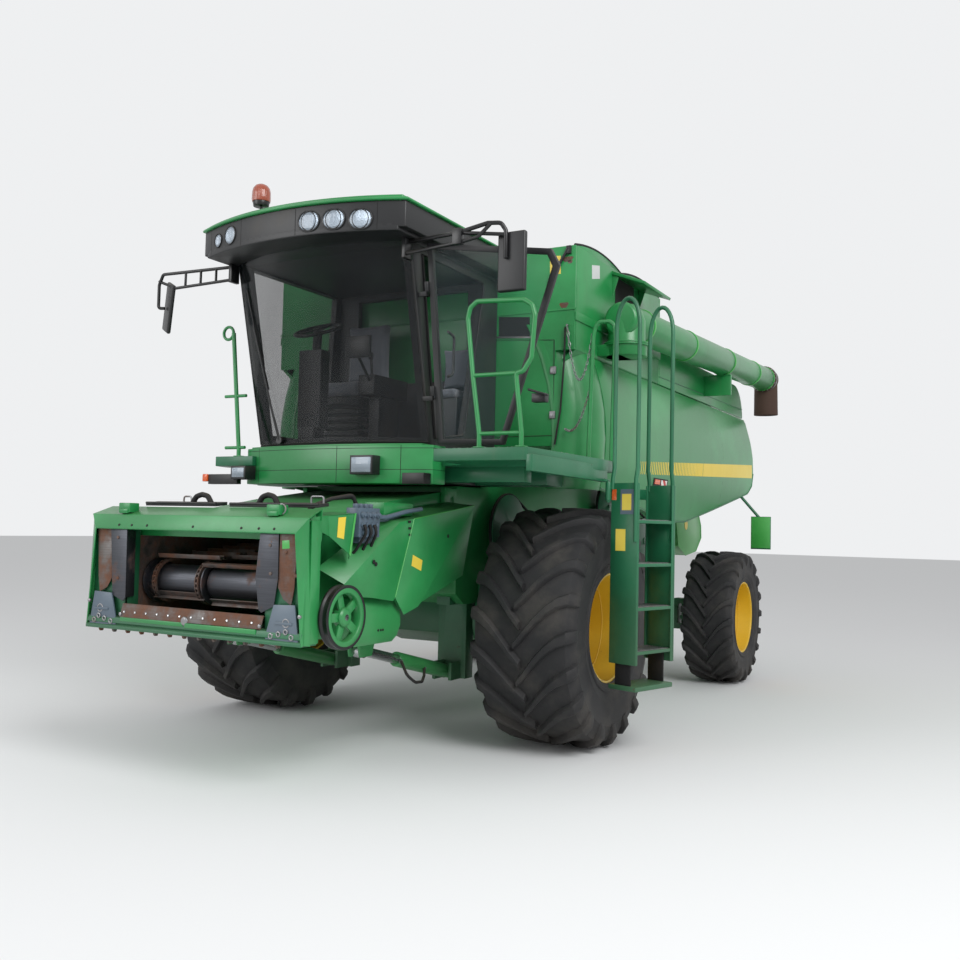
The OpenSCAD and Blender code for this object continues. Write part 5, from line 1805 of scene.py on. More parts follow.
    def beacon(self) -> None:
        """Turns the beacon's dome on its stem and bends the black loop in front of it."""
        spot = at(-0.620, -1.380, 0)
        Shape().lathe(spot, (0, 0, 1), [(3.961, 0), (3.961, 0.011),
                                        (4.160, 0.011), (4.160, 0.060), (4.196, 0.066), (4.196, 0)],
                      32).piece("beacon_base", "machine", Tone.SATIN, 0.001)
        dome = [(4.196, 0.070), (4.212, 0.074), (4.270, 0.073),
                (4.302, 0.066), (4.324, 0.050), (4.336, 0.028), (4.340, 0)]
        Shape().lathe(spot, (0, 0, 1), [(4.196, 0), *dome],
                      36).piece("beacon_dome", "machine", Tone.BEACON, 0.0, 2, ["beacon"])
        path = bent([at(-0.74, -1.46, 3.950), at(-0.73, -1.47, 4.060), at(-0.51, -1.50, 4.075),
                     at(-0.50, -1.47, 3.950)], 0.05)
        Shape().tube(path, 0.008, 10).piece("beacon_guard", "machine", Tone.SATIN, 0.0)

    def controls(self) -> None:
        """Builds the steering column and wheel, the armrest with its lever and the display."""
        s, wheel = self.station, Shape()
        turn = Matrix.Translation(at(s - 0.015, -0.965,
                                     3.235)) @ Matrix.Rotation(math.radians(24), 4, "X")
        ring = [turn @ Vector((0.190 * math.cos(a * math.pi / 24),
                               0.190 * math.sin(a * math.pi / 24), 0))
                for a in range(48)]
        wheel.tube(ring, 0.014, 12, True)
        for angle in (90, 210, 330):
            way = Vector((math.cos(math.radians(angle)), math.sin(math.radians(angle)), 0))
            wheel.rod(turn @ (way * 0.02), turn @ (way * 0.188), 0.010, 10)
        wheel.disc(turn @ Vector((0, 0, 0.004)), turn.to_3x3() @ Vector((0, 0, 1)), 0.042, 0.03, 24)
        wheel.rod(at(s - 0.015, -1.030, 2.400), at(s - 0.015, -0.968, 3.225), 0.036, 20)
        wheel.block(at(s - 0.125, -1.060, 2.430), at(s + 0.095, -0.950, 3.060))
        wheel.block(at(s - 0.09, -1.090, 2.304), at(s + 0.06, -0.950, 2.440))
        wheel.block(at(s + 0.275, -0.800, 2.720), at(s + 0.430, -0.320, 2.880))
        wheel.block(at(s + 0.310, -0.700, 2.304), at(s + 0.410, -0.420, 2.730))
        wheel.rod(at(s + 0.350, -0.720, 2.870), at(s + 0.350, -0.740, 3.020), 0.011, 10)
        wheel.lathe(at(s + 0.350, -0.743, 3.04), (0, 0, 1),
                    [(-0.03, 0), (-0.03, 0.018), (0.01, 0.024), (0.03, 0.012), (0.03, 0)], 16)
        wheel.piece("cab_steering_wheel", "machine", BLACK, 0.010, 3, replaces=["cab_controls"])
        screen = Shape().block(at(-0.03, -1.02, 2.98), at(0.20, -0.99, 3.15))
        screen.rod(at(0.085, -1.0, 2.99), at(0.04, -0.75, 2.80), 0.012, 10)
        screen.piece("cab_display", "machine", Tone.SATIN, 0.006)

    def seats(self) -> None:
        """Pads both seats on their bases."""
        s = self.station
        cushion("operator_cushion", at(s - 0.250, -0.750, 2.735),
                at(s + 0.240, -0.270, 2.850), Tone.SEAT, ["operator_seat"])
        cushion("operator_back", at(s - 0.230, -0.320, 2.870),
                at(s + 0.220, -0.215, 3.420), Tone.SEAT)
        cushion("buddy_cushion", at(0.378, -0.550, 2.708), at(0.712, -0.270, 2.775),
                Tone.SEAT_DARK, ["buddy_seat"])
        cushion("buddy_back", at(0.378, -0.252, 2.790), at(0.712, -0.190, 3.170), Tone.SEAT_DARK)
        base = Shape()
        base.block(at(s - 0.20, -0.70, 2.304), at(s + 0.20, -0.30, 2.40))
        base.block(at(s - 0.22, -0.72, 2.66), at(s + 0.22, -0.28, 2.728))
        for z in (2.43, 2.49, 2.55, 2.61):
            base.block(at(s - 0.17, -0.66, z - 0.022), at(s + 0.17, -0.34, z + 0.022))
        base.block(at(0.38, -0.54, 2.304), at(0.71, -0.22, 2.702))
        base.piece("seat_suspension", "machine", BLACK, 0.012, 3, replaces=["seat_bases"])

    def door_trim(self) -> None:
        """Fits the seal round the door's opening and the handles of the open door."""
        seal = Shape()
        opening = [(0.812, -1.015, 2.330), (0.812, -0.590, 2.390),
                   (0.812, -0.310, 3.650), (0.812, -1.245, 3.650)]
        seal.tube(bent([at(*p) for p in opening], 0.06), 0.010, 8, True)
        seal.piece("cab_door_seal", "machine", Tone.SEAL, 0.0)
        handle = Shape()
        handle.tube(bent([at(1.000, -1.160, 2.760), at(1.000, -1.090, 2.780),
                          at(1.010, -1.100, 3.060),
                          at(1.010, -1.190, 3.080)], 0.04), 0.011, 10)
        handle.block(at(1.700, -1.215, 2.540), at(1.800, -1.150, 2.600))
        handle.tube(bent([at(1.70, -1.235, 2.62), at(1.70, -1.270, 2.62), at(1.83, -1.270, 2.58),
                          at(1.83, -1.235, 2.58)], 0.02), 0.009, 10)
        handle.piece("cab_door_handles", "cab_door", Tone.SATIN, 0.003)

    def build(self) -> None:
        """Builds the cab."""
        self.windscreen()
        self.wiper()
        self.band()
        self.roof()
        self.lamps()
        self.beacon()
        self.controls()
        self.seats()
        self.door_trim()


CUSHION_VOXEL = 0.0085
CUSHION_PRESSURE = 4.0
CUSHION_FRAMES = 20
CUSHION_SWELL = 0.024


def cushion(name: str, low: Vector, high: Vector, tone: Tone,
            replaces: Sequence[str] = ()) -> bpy.types.Object:
    """Pads a cushion: a box shrunk a little, blown up by cloth simulation and kept within its box.

    Args:
        name: the cushion's name.
        low: its lowest corner.
        high: its highest corner.
        tone: its cloth.
        replaces: CAD nodes that it stands for.

    Returns:
        The cushion.
    """
    middle, half = (low + high) / 2, (high - low) / 2
    inner = Vector([max(h - 0.012, h * 0.7) for h in half])
    pad = Shape().block(middle - inner, middle + inner).mesh_object(name)
    soften(pad, min(inner) * 0.55, 4)
    remesh = pad.modifiers.new("voxels", "REMESH")
    remesh.mode, remesh.voxel_size = "VOXEL", CUSHION_VOXEL
    settle(pad)
    start = [v.co.copy() for v in pad.data.vertices]
    cloth = pad.modifiers.new("cloth", "CLOTH")
    cloth.settings.use_pressure = True
    cloth.settings.uniform_pressure_force = CUSHION_PRESSURE
    cloth.settings.effector_weights.gravity = 0.0
    for step in range(1, CUSHION_FRAMES + 1):
        bpy.context.scene.frame_set(step)
    settle(pad)
    for vert, first in zip(pad.data.vertices, start):
        moved = vert.co - first
        if moved.length > CUSHION_SWELL:
            vert.co = first + moved * (CUSHION_SWELL / moved.length)
        vert.co = Vector([min(max(c, a), b) for c, a, b in zip(vert.co, low, high)])
    bpy.context.scene.frame_set(1)
    pad.data.polygons.foreach_set("use_smooth", [True] * len(pad.data.polygons))
    dress(pad, "machine", tone, replaces)
    return pad


@dataclass
class Decks:
    """Platforms beside the cab, their rails and chains, the mirrors and the ladder."""

    top: float = 2.21
    front: float = -1.535
    ladder_at: tuple[float, float] = (1.91, -0.31)
    ladder_turn: float = math.radians(-16.9)
    steps: tuple[float, ...] = (0.800, 1.120, 1.440, 1.760)

    def floors(self) -> None:
        """Lays both decks with their skirt and the beams under them."""
        shape, t = Shape(), self.top
        left = [(1.140, -1.560), (1.850, -1.560), (1.890, -0.440),
                (1.880, -0.064), (0.906, -0.064), (0.906, -1.060),
                (1.140, -1.160)]
        right = [(-0.740, -1.250), (-0.740, -1.200), (-0.866, -1.180),
                 (-0.866, -0.064), (-1.180, -0.064),
                 (-1.180, -1.100), (-1.134, -1.250)]
        shape.plate([at(x, y, t - 0.090) for x, y in left], (0, 0, 0.086))
        shape.plate([at(x, y, t - 0.082) for x, y in right], (0, 0, 0.078))
        shape.prism(0, at(1.840, 0, 0).x, at(1.886, 0, 0).x,
                    [at(0, y, z).yz for y, z in ((-1.560, 2.050), (-0.270, 2.040),
                                                 (-0.270, 2.160), (-1.560, 2.160))])
        shape.block(at(1.840, -0.350, 2.040), at(1.910, -0.270, 2.060))
        shape.rod(at(1.910, -0.310, 1.886), at(1.910, -0.310, 2.046), 0.013, 20)
        shape.block(at(-1.100, -0.900, 2.010), at(-0.700, -0.780, 2.130))
        shape.block(at(0.700, -0.900, 2.010), at(1.500, -0.780, 2.122))
        shape.twin_blocks(0.71, 1.44, (-0.400, 2.010), (-0.100, 2.122))
        shape.piece("platform_frames", "machine", DEEP, 0.005, 2, replaces=["platforms"])
        for name, start, counts in (("left", at(0.940, -1.020, t - 0.004), (19, 20)),
                                    ("left_front", at(1.180, -1.520, t - 0.004), (13, 10)),
                                    ("right", at(-1.150, -1.060, t - 0.004), (6, 20))):
            for odd in (0, 1):
                bars = Shape()
                for row in range(counts[1]):
                    for column in range(counts[0]):
                        if (row + column) % 2 == odd:
                            spot = start + Vector((0.050 * column, 0.048 * row, 0))
                            lean = Matrix.Rotation(math.radians(45 if odd else -45), 4, "Z")
                            turn = Matrix.Translation(spot) @ lean
                            bars.block((-0.018, -0.003, 0), (0.018, 0.003, 0.0035), turn)
                bars.piece("platform_tread_%s_%d" % (name, odd), "machine", Tone.STEEL, 0.0)

    def rails(self) -> None:
        """Bends the front hoop, the short hoop behind the ladder and the leaning right pole."""
        shape, y = Shape(), self.front
        loop = [(1.478, 2.210), (1.478, 2.300), (1.420, 2.690),
                (1.372, 3.080), (1.388, 3.150), (1.440, 3.188), (1.790, 3.168),
                (1.850, 3.130), (1.872, 3.060), (1.852, 2.785),
                (1.795, 2.700), (1.742, 2.690), (1.790, 2.300), (1.790, 2.210)]
        shape.tube(bent([at(x, y, z) for x, z in loop], 0.035), 0.016, 16)
        shape.rod(at(1.420, y, 2.690), at(1.742, y, 2.690), 0.014)
        shape.rod(at(1.466, y, 2.300), at(1.780, y, 2.300), 0.013)
        rear = [(1.676, 2.210), (1.676, 2.300), (1.700, 3.180),
                (1.716, 3.256), (1.752, 3.290), (1.838, 3.286), (1.872, 3.255),
                (1.882, 3.170), (1.866, 2.300), (1.866, 2.210)]
        shape.tube(bent([at(x, -0.150, z) for x, z in rear], 0.035), 0.016, 16)
        shape.tube(bent([at(-0.934, -1.200, 2.210), at(-0.934, -1.200, 2.260),
                         at(-1.029, -1.200, 3.221)], 0.03), 0.017, 16)
        shape.tube([at(-1.084 + 0.052 * math.cos(a * math.pi / 12),
                       -1.200, 3.222 + 0.052 * math.sin(a * math.pi / 12))
                    for a in range(24)], 0.012, 12, True)
        shape.rod(at(-1.095, -1.200, 2.700), at(-0.872, -1.200, 2.700), 0.013)
        shape.rod(at(-1.076, -1.200, 2.280), at(-0.870, -1.200, 2.280), 0.013)
        shape.piece("platform_rails", "machine", GREEN, 0.0, replaces=["guard_rails"])
        feet = Shape()
        for x, y in ((1.478, self.front), (1.790, self.front),
                     (1.676, -0.150), (1.866, -0.150), (-0.934, -1.200)):
            feet.block(at(x - 0.034, y - 0.024, 2.206), at(min(x + 0.034, 1.884), y + 0.034, 2.214))
        feet.piece("platform_rail_feet", "machine", GREEN, 0.002)

    def chains(self) -> None:
        """Hangs the two short chains between the tank and the short hoop."""
        link = Shape()
        for first, last, sag in (((1.450, -0.092, 3.30), (1.695, -0.152, 3.205), 0.40),
                                 ((1.452, -0.092, 2.47), (1.688, -0.152, 2.80), 0.13)):
            count = 34
            spots = []
            for k in range(count + 1):
                t = k / count
                spots.append(at(*first).lerp(at(*last), t) - Vector((0, 0, sag * 4 * t * (1 - t))))
            for k in range(count):
                along = (spots[k + 1] - spots[k]).normalized()
                side = along.cross(Vector((0, 1, 0))).normalized() if k % 2 else Vector((0, 1, 0))
                side = (side - along * side.dot(along)).normalized()
                middle, reach = (spots[k] + spots[k + 1]) / 2, (spots[k + 1]
                                                                - spots[k]).length * 0.62
                ring = [middle + along * reach * math.cos(a * math.pi / 5)
                        + side * 0.009 * math.sin(a * math.pi / 5)
                        for a in range(10)]
                link.tube(ring, 0.0028, 5, True)
        for spot in ((1.450, -0.070, 3.30), (1.452, -0.070, 2.47)):
            link.rod(at(*spot), at(spot[0], spot[1] - 0.03, spot[2]), 0.008, 10)
        link.piece("platform_chains", "machine", Tone.STEEL, 0.0, replaces=["rail_chains"])

    def mirrors(self) -> None:
        """Hangs both mirrors on their bent arms."""
        arms = Shape()
        arms.block(at(0.812, -1.520, 3.560), at(0.842, -1.420, 3.706))
        arms.tube(bent([at(0.827, -1.440, 3.690), at(1.290, -1.550, 3.668),
                        at(1.500, -1.520, 3.716), at(1.590, -1.500, 3.712),
                        at(1.622, -1.490, 3.660), at(1.625, -1.490, 3.470)], 0.04), 0.015, 14)
        arms.tube(bent([at(0.827, -1.500, 3.590), at(1.300, -1.550, 3.600),
                        at(1.440, -1.540, 3.625),
                        at(1.520, -1.520, 3.708)], 0.04), 0.013, 14)
        arms.rod(at(1.290, -1.550, 3.668), at(1.625, -1.490, 3.632), 0.013)
        arms.block(at(1.255, -1.575, 3.585), at(1.325, -1.535, 3.695))
        arms.block(at(-0.842, -1.480, 3.560), at(-0.812, -1.390, 3.706))
        arms.tube(bent([at(-0.827, -1.435, 3.690), at(-1.536, -1.500, 3.687),
                        at(-1.600, -1.480, 3.610),
                        at(-1.611, -1.470, 3.420), at(-1.560, -1.450, 3.420)], 0.035), 0.013, 14)
        arms.tube(bent([at(-0.827, -1.435, 3.590), at(-1.389, -1.500, 3.560),
                        at(-1.600, -1.480, 3.640)], 0.03), 0.012, 14)
        for x in (-1.000, -1.150, -1.300):
            arms.rod(at(x, -1.435 + (x + 0.827) * 0.105, 3.575),
                     at(x, -1.435 + (x + 0.827) * 0.1, 3.688), 0.010, 12)
        arms.piece("mirror_arms", "machine", Tone.SATIN, 0.002, replaces=["mirrors"])
        shells, faces = Shape(), Shape()
        for spot, turn, half in (((1.655, -1.452, 3.4535), (0, 0), (0.103, 0.022, 0.2015)),
                                 ((-1.523, -1.440, 3.423), (20, -30), (0.095, 0.016, 0.200))):
            place = (Matrix.Translation(at(*spot)) @ Matrix.Rotation(math.radians(turn[1]), 4, "Z")
                     @ Matrix.Rotation(math.radians(turn[0]), 4, "Y"))
            shells.block([-h for h in half], half, place)
            inner = (half[0] - 0.014, half[1] + 0.0015, half[2] - 0.014)
            faces.block((-inner[0], 0, -inner[2]), inner, place)
        shells.piece("mirror_shells", "machine", BLACK, 0.014, 4)
        faces.piece("mirror_glasses", "machine", Tone.MIRROR, 0.001)

    def ladder_place(self) -> Matrix:
        """Returns the place of the ladder's hinge, turned as in the photograph."""
        hinge = Matrix.Translation(at(*self.ladder_at, 0))
        return hinge @ Matrix.Rotation(self.ladder_turn, 4, "Z")

    def ladder(self) -> None:
        """Builds the ladder on its hinge, with round hoops and the strapped bottom step."""
        place = self.ladder_place()
        shape = Shape()
        shape.lathe(at(*self.ladder_at, 0), (0, 0, 1),
                    [(1.900, 0.0134), (1.900, 0.022), (2.038, 0.022), (2.038, 0.0134)], 28)
        for y in (0.020, 0.468):
            shape.block((0.012, y, 0.700), (0.260, y + 0.012, 2.032), place)
            lip = 0.012 if y < 0.1 else -0.020
            for x in (0.012, 0.250):
                shape.block((x, min(y + lip, y + 0.012), 0.702),
                            (x + 0.010, max(y + lip, y + 0.012) + 0.012, 2.030), place)
        for z in self.steps:
            shape.block((0.014, 0.030, z - 0.025), (0.258, 0.470, z - 0.0005), place)
        shape.block((-0.006, 0.021, 1.920), (0.014, 0.480, 2.000), place)
        shape.block((0.012, 0.020, 0.510), (0.260, 0.480, 0.545), place)
        shape.piece("ladder_frame", "ladder", DEEP, 0.004, 2, replaces=["ladder"])
        hoops, straps = Shape(), Shape()
        for y, foot in ((0.040, 0.018), (0.460, -0.018)):
            top = [(0.132 - 0.108 * math.cos(a), y, 3.190 + 0.225 * math.sin(a))
                   for a in [math.pi * k / 14 for k in range(15)]]
            path = [(0.024, y - foot, 1.985), (0.024, y - foot, 2.060),
                    (0.024, y, 2.140), *top, (0.240, y, 2.140),
                    (0.240, y - foot, 2.060), (0.240, y - foot, 1.600)]
            hoops.tube([place @ Vector(p) for p in path], 0.016, 14)
        for y in (0.034, 0.438):
            straps.block((0.060, y, 0.520), (0.200, y + 0.014, 0.776), place)
        hoops.piece("ladder_hoops", "ladder", DEEP, 0.0)
        straps.piece("ladder_straps", "ladder", Tone.SEAL, 0.002)

    def ladder_trim(self) -> None:
        """Adds the step treads and blank stickers to the ladder."""
        place = self.ladder_place()
        tread = Shape()
        for z in self.steps:
            for k in range(9):
                tread.block((0.040 + 0.024 * k, 0.050, z - 0.001),
                            (0.050 + 0.024 * k, 0.455, z + 0.004), place)
        tread.piece("ladder_treads", "ladder", Tone.STEEL, 0.0)
        stickers = (
            ("ladder_sticker_amber", (0.020, 0.0195, 1.905), (0.062, 0.0200, 1.985), Tone.AMBER),
            ("ladder_sticker_high", (0.100, 0.0185, 1.800), (0.230, 0.0200, 1.985), Tone.BLUE_GREY),
            ("ladder_sticker_yellow", (0.115, 0.0180, 1.830), (0.200, 0.0190, 1.950), Tone.LABEL),
            ("ladder_sticker_low", (0.060, 0.0185, 1.530), (0.150, 0.0200, 1.690), Tone.LABEL))
        for name, low, high, tone in stickers:
            Shape().block(low, high, place).piece(name, "ladder", tone, 0.0)

    def build(self) -> None:
        """Builds the decks."""
        self.floors()
        self.rails()
        self.chains()
        self.mirrors()
        self.ladder()
        self.ladder_trim()


SHIELD_RADIUS = (0.65 ** 2 + 0.12 ** 2) / 0.24
SHIELD_CENTRE = 1.64 - SHIELD_RADIUS


def on_shield(y: float, z: float, out: float = 0.0, side: int = 1) -> Vector:
    """Returns the point of a side shield's rolled face at a place, moved outwards."""
    x = SHIELD_CENTRE + math.sqrt((SHIELD_RADIUS + out) ** 2 - (z - 2.42) ** 2)
    return at(side * x, y, z)


@dataclass
class Tank:
    """The grain tank with its rolled corners, ledge, covers' seals, flaps and blank labels."""

    half: float = 1.5
    front: float = -0.06
    rear: float = 2.0
    knee: float = 3.11
    top: float = 3.95
    wall: float = 0.03
    ledge: tuple[float, float] = (3.345, 3.415)

    def walls(self) -> None:
        """Folds the tank's open box: walls, hopper floor, lower front wall and rolled corners."""
        shape, h, w = Shape(), self.half, self.wall
        section = [(-h, self.top), (-h, self.knee), (-0.640, 2.330),
                   (0.640, 2.330), (h, self.knee), (h, self.top)]
        face = [*section[:2], (-1.335, self.knee), (-1.335, 2.340),
                (1.335, 2.340), (1.335, self.knee), *section[4:]]
        shape.plate([at(x, self.front, z) for x, z in face], (0, w, 0))
        shape.plate([at(x, self.rear - w, z) for x, z in section], (0, w, 0))
        length = (0, self.rear - self.front - 2 * w, 0)
        for side in (-1, 1):
            for strip in (((h, self.top), (h, self.knee), (h - w, self.knee), (h - w, self.top)),
                          ((h, self.knee), (0.640, 2.330), (0.625, 2.360),
                           (h - w, self.knee + 0.012))):
                shape.plate([at(side * x, self.front + w, z) for x, z in strip], length)
        shape.block(at(-0.640, self.front + w, 2.330), at(0.640, self.rear - w, 2.360))
        shape.piece("tank_body", "machine", GREEN, 0.006, 2, replaces=["grain_tank"])
        corners = Shape()
        rows = [2.000, 2.100, 2.250, 2.420, 2.650, 2.850, 3.050, 3.250, 3.338]
        ring = []
        for z in rows:
            reach = on_shield(0, z, 0.0).x - AXLE.x
            bend = [(reach - 0.29 + 0.29 * math.sin(a), -0.065 + 0.29 - 0.29 * math.cos(a))
                    for a in [math.pi / 2 * k / 10 for k in range(11)]]
            outer = [(reach - 0.32, -0.065), *bend, (reach, 0.292)]
            inner = [(x - 0.02 if i > 1 else x, y + 0.02 if i < 12 else y) for i,
                     (x, y) in enumerate(outer)]
            ring.append([at(x, y, z) for x, y in [*outer, *reversed(inner)]])
        count = len(ring[0])
        faces = [tuple(reversed(range(count))),
                 tuple((len(rows) - 1) * count + i for i in range(count))]
        for r in range(len(rows) - 1):
            faces += [(r * count + i, r * count + (i + 1) % count,
                       (r + 1) * count + (i + 1) % count, (r + 1) * count + i)
                      for i in range(count)]
        corners.add([p for loop in ring for p in loop], faces)
        corners.mirrored()
        corners.piece("tank_corners", "machine", GREEN, 0.004)
        ledge = Shape()
        low, high = self.ledge
        ledge.twin_blocks(h, h + 0.012, (self.front, low), (self.rear, high))
        ledge.block(at(-h - 0.012, self.front - 0.007, 3.428), at(h + 0.012, self.front, 3.443))
        ledge.piece("tank_ledge", "machine", GREEN, 0.005)
        pins = Shape()
        for y in (self.front + 0.006, self.rear - 0.006):
            for x in (-1.0, 0.0, 1.0):
                pins.rod(at(x - 0.060, y, self.top + 0.013), at(x + 0.060, y, self.top + 0.013),
                         0.006)
                for s in (-1, 1):
                    pins.block(at(x + s * 0.054 - 0.006, y - 0.009, self.top - 0.002),
                               at(x + s * 0.054 + 0.006, y + 0.009, self.top + 0.022))
        for side in (-1, 1):
            pins.block(at(min(side * 1.48, side * 1.523), 0.240, 3.030),
                       at(max(side * 1.48, side * 1.523), 0.294, 3.100))
            pins.rod(at(side * 1.507, 0.280, 3.070), at(side * 1.507, 0.340, 3.070), 0.005)
        pins.piece("tank_hinge_pins", "machine", GREEN, 0.0)

    def flaps(self) -> None:
        """Folds the roof flaps over the sides, with a black sheet under them that paints their
        shade.
        """
        shape = Shape()
        shape.plate([at(x, 0.720, z) for x, z in ((1.496, 3.895), (1.496, 3.925),
                                                  (1.800, 3.805), (1.792, 3.783))], (0, 0.700, 0))
        shape.plate([at(x, 0.735, z) for x, z in ((1.500, 3.896), (1.560, 3.873), (1.500, 3.700))],
                    (0, 0.012, 0))
        shape.plate([at(x, 1.390, z) for x, z in ((1.500, 3.896), (1.560, 3.873), (1.500, 3.700))],
                    (0, 0.012, 0))
        shape.mirrored()
        shape.piece("tank_flap_sheets", "machine", GREEN, 0.003, 2, replaces=["tank_flaps"])
        # painted shade: a thin black sheet on the side wall where each flap overhangs
        dark = Shape().block(at(1.4995, 0.800, 3.650), at(1.5020, 1.260, 3.890)).mirrored()
        dark.piece("tank_flap_painted_shade", "machine", Tone.SEAL, 0.0)

    def cover_seals(self) -> None:
        """Runs a rubber edge round each bowed cover."""
        radius, length = (0.25 + 0.0036) / 0.12, 1.0
        for name, body, start in (("front", "cover_front", self.front + 0.020),
                                  ("rear", "cover_rear", self.front + 1.040)):
            shape = Shape()
            for x in (-1.484, 1.484):
                path = []
                for k in range(21):
                    y = start + length * k / 20
                    z = self.top + 0.068 - radius + math.sqrt(radius ** 2
                                                              - (y - start - length / 2) ** 2)
                    path.append(at(x, y, max(z, self.top + 0.006)))
                shape.tube(path, 0.011, 8)
            edge = start + (length - 0.006 if name == "front" else 0.006)
            shape.rod(at(-1.484, edge, self.top + 0.012), at(1.484, edge, self.top + 0.012),
                      0.010, 8)
            shape.piece("tank_cover_seal_" + name, body, Tone.SEAL, 0.0)

    def front_wall(self) -> None:
        """Cuts the door, window, latches and strip into the front wall's face."""
        y = self.front
        frame = Shape()
        door = [(0.735, 3.235), (1.325, 3.195), (1.335, 2.425), (0.745, 2.425)]
        frame.tube([at(x, y - 0.001, z) for x, z in door], 0.004, 6, True)
        # painted shade: the window is a black plate, dark as the shade behind it
        frame.plate([at(x, y - 0.002, z) for x, z in ((0.821, 3.247), (1.107, 3.226),
                                                      (1.103, 3.399), (0.817, 3.423))],
                                                      (0, 0.002, 0))
        strip = [at(1.431, y - 0.024, 3.290), at(1.425, y - 0.024, 3.000),
                 at(1.400, y - 0.022, 2.620), at(1.354, y - 0.018, 2.350)]
        frame.tube(strip, 0.008, 8)
        frame.piece("tank_front_seams_and_shaded_window", "machine", Tone.SEAL, 0.0)
        lip = Shape().plate([at(x, y - 0.005, z) for x,
                             z in ((0.790, 3.262), (1.140, 3.238), (1.138, 3.222), (0.790, 3.246))],
                             (0, 0.005, 0))
        for z in (2.950, 2.590):
            lip.block(at(1.300, y - 0.016, z - 0.030), at(1.350, y - 0.001, z + 0.030))
        lip.piece("tank_latches", "machine", Tone.STEEL, 0.004)
        stay = Shape().block(at(1.425, -0.085, 3.880), at(1.465, -0.060, 3.945))
        stay.rod(at(1.445, -0.078, 3.930), at(1.300, -0.078, 3.700), 0.012, 12)
        stay.block(at(1.280, -0.085, 3.680), at(1.320, -0.060, 3.720))
        stay.piece("tank_cover_stay", "machine", Tone.SATIN, 0.003)
        label("tank_label_front", "machine", [(1.276, y, 3.736), (1.372, y, 3.727),
                                              (1.369, y, 3.874), (1.273, y, 3.883)],
              Tone.LABEL, (0, -0.0012, 0))
        label("tank_label_side", "machine", [(self.half, 0.279, 3.750),
                                             (self.half, 0.445, 3.790), (self.half, 0.440, 3.900),
                                             (self.half, 0.273, 3.865)], Tone.WHITE)
        rust = Shape()
        for x, z, wide, tall in ((1.430, 3.840, 0.045, 0.028),
                                 (1.405, 3.470, 0.036, 0.030), (1.452, 3.815, 0.020, 0.016)):
            rust.plate([at(x + wide * math.cos(a) * (1 + 0.25 * math.sin(3 * a)),
                           y, z + tall * math.sin(a) * (1 + 0.3 * math.cos(2 * a)))
                        for a in [math.pi * k / 8 for k in range(16)]], (0, -0.0008, 0))
        rust.piece("tank_rust_patches", "machine", Tone.RUSTY, 0.0)

    def build(self) -> None:
        """Builds the tank."""
        self.walls()
        self.flaps()
        self.cover_seals()
        self.front_wall()


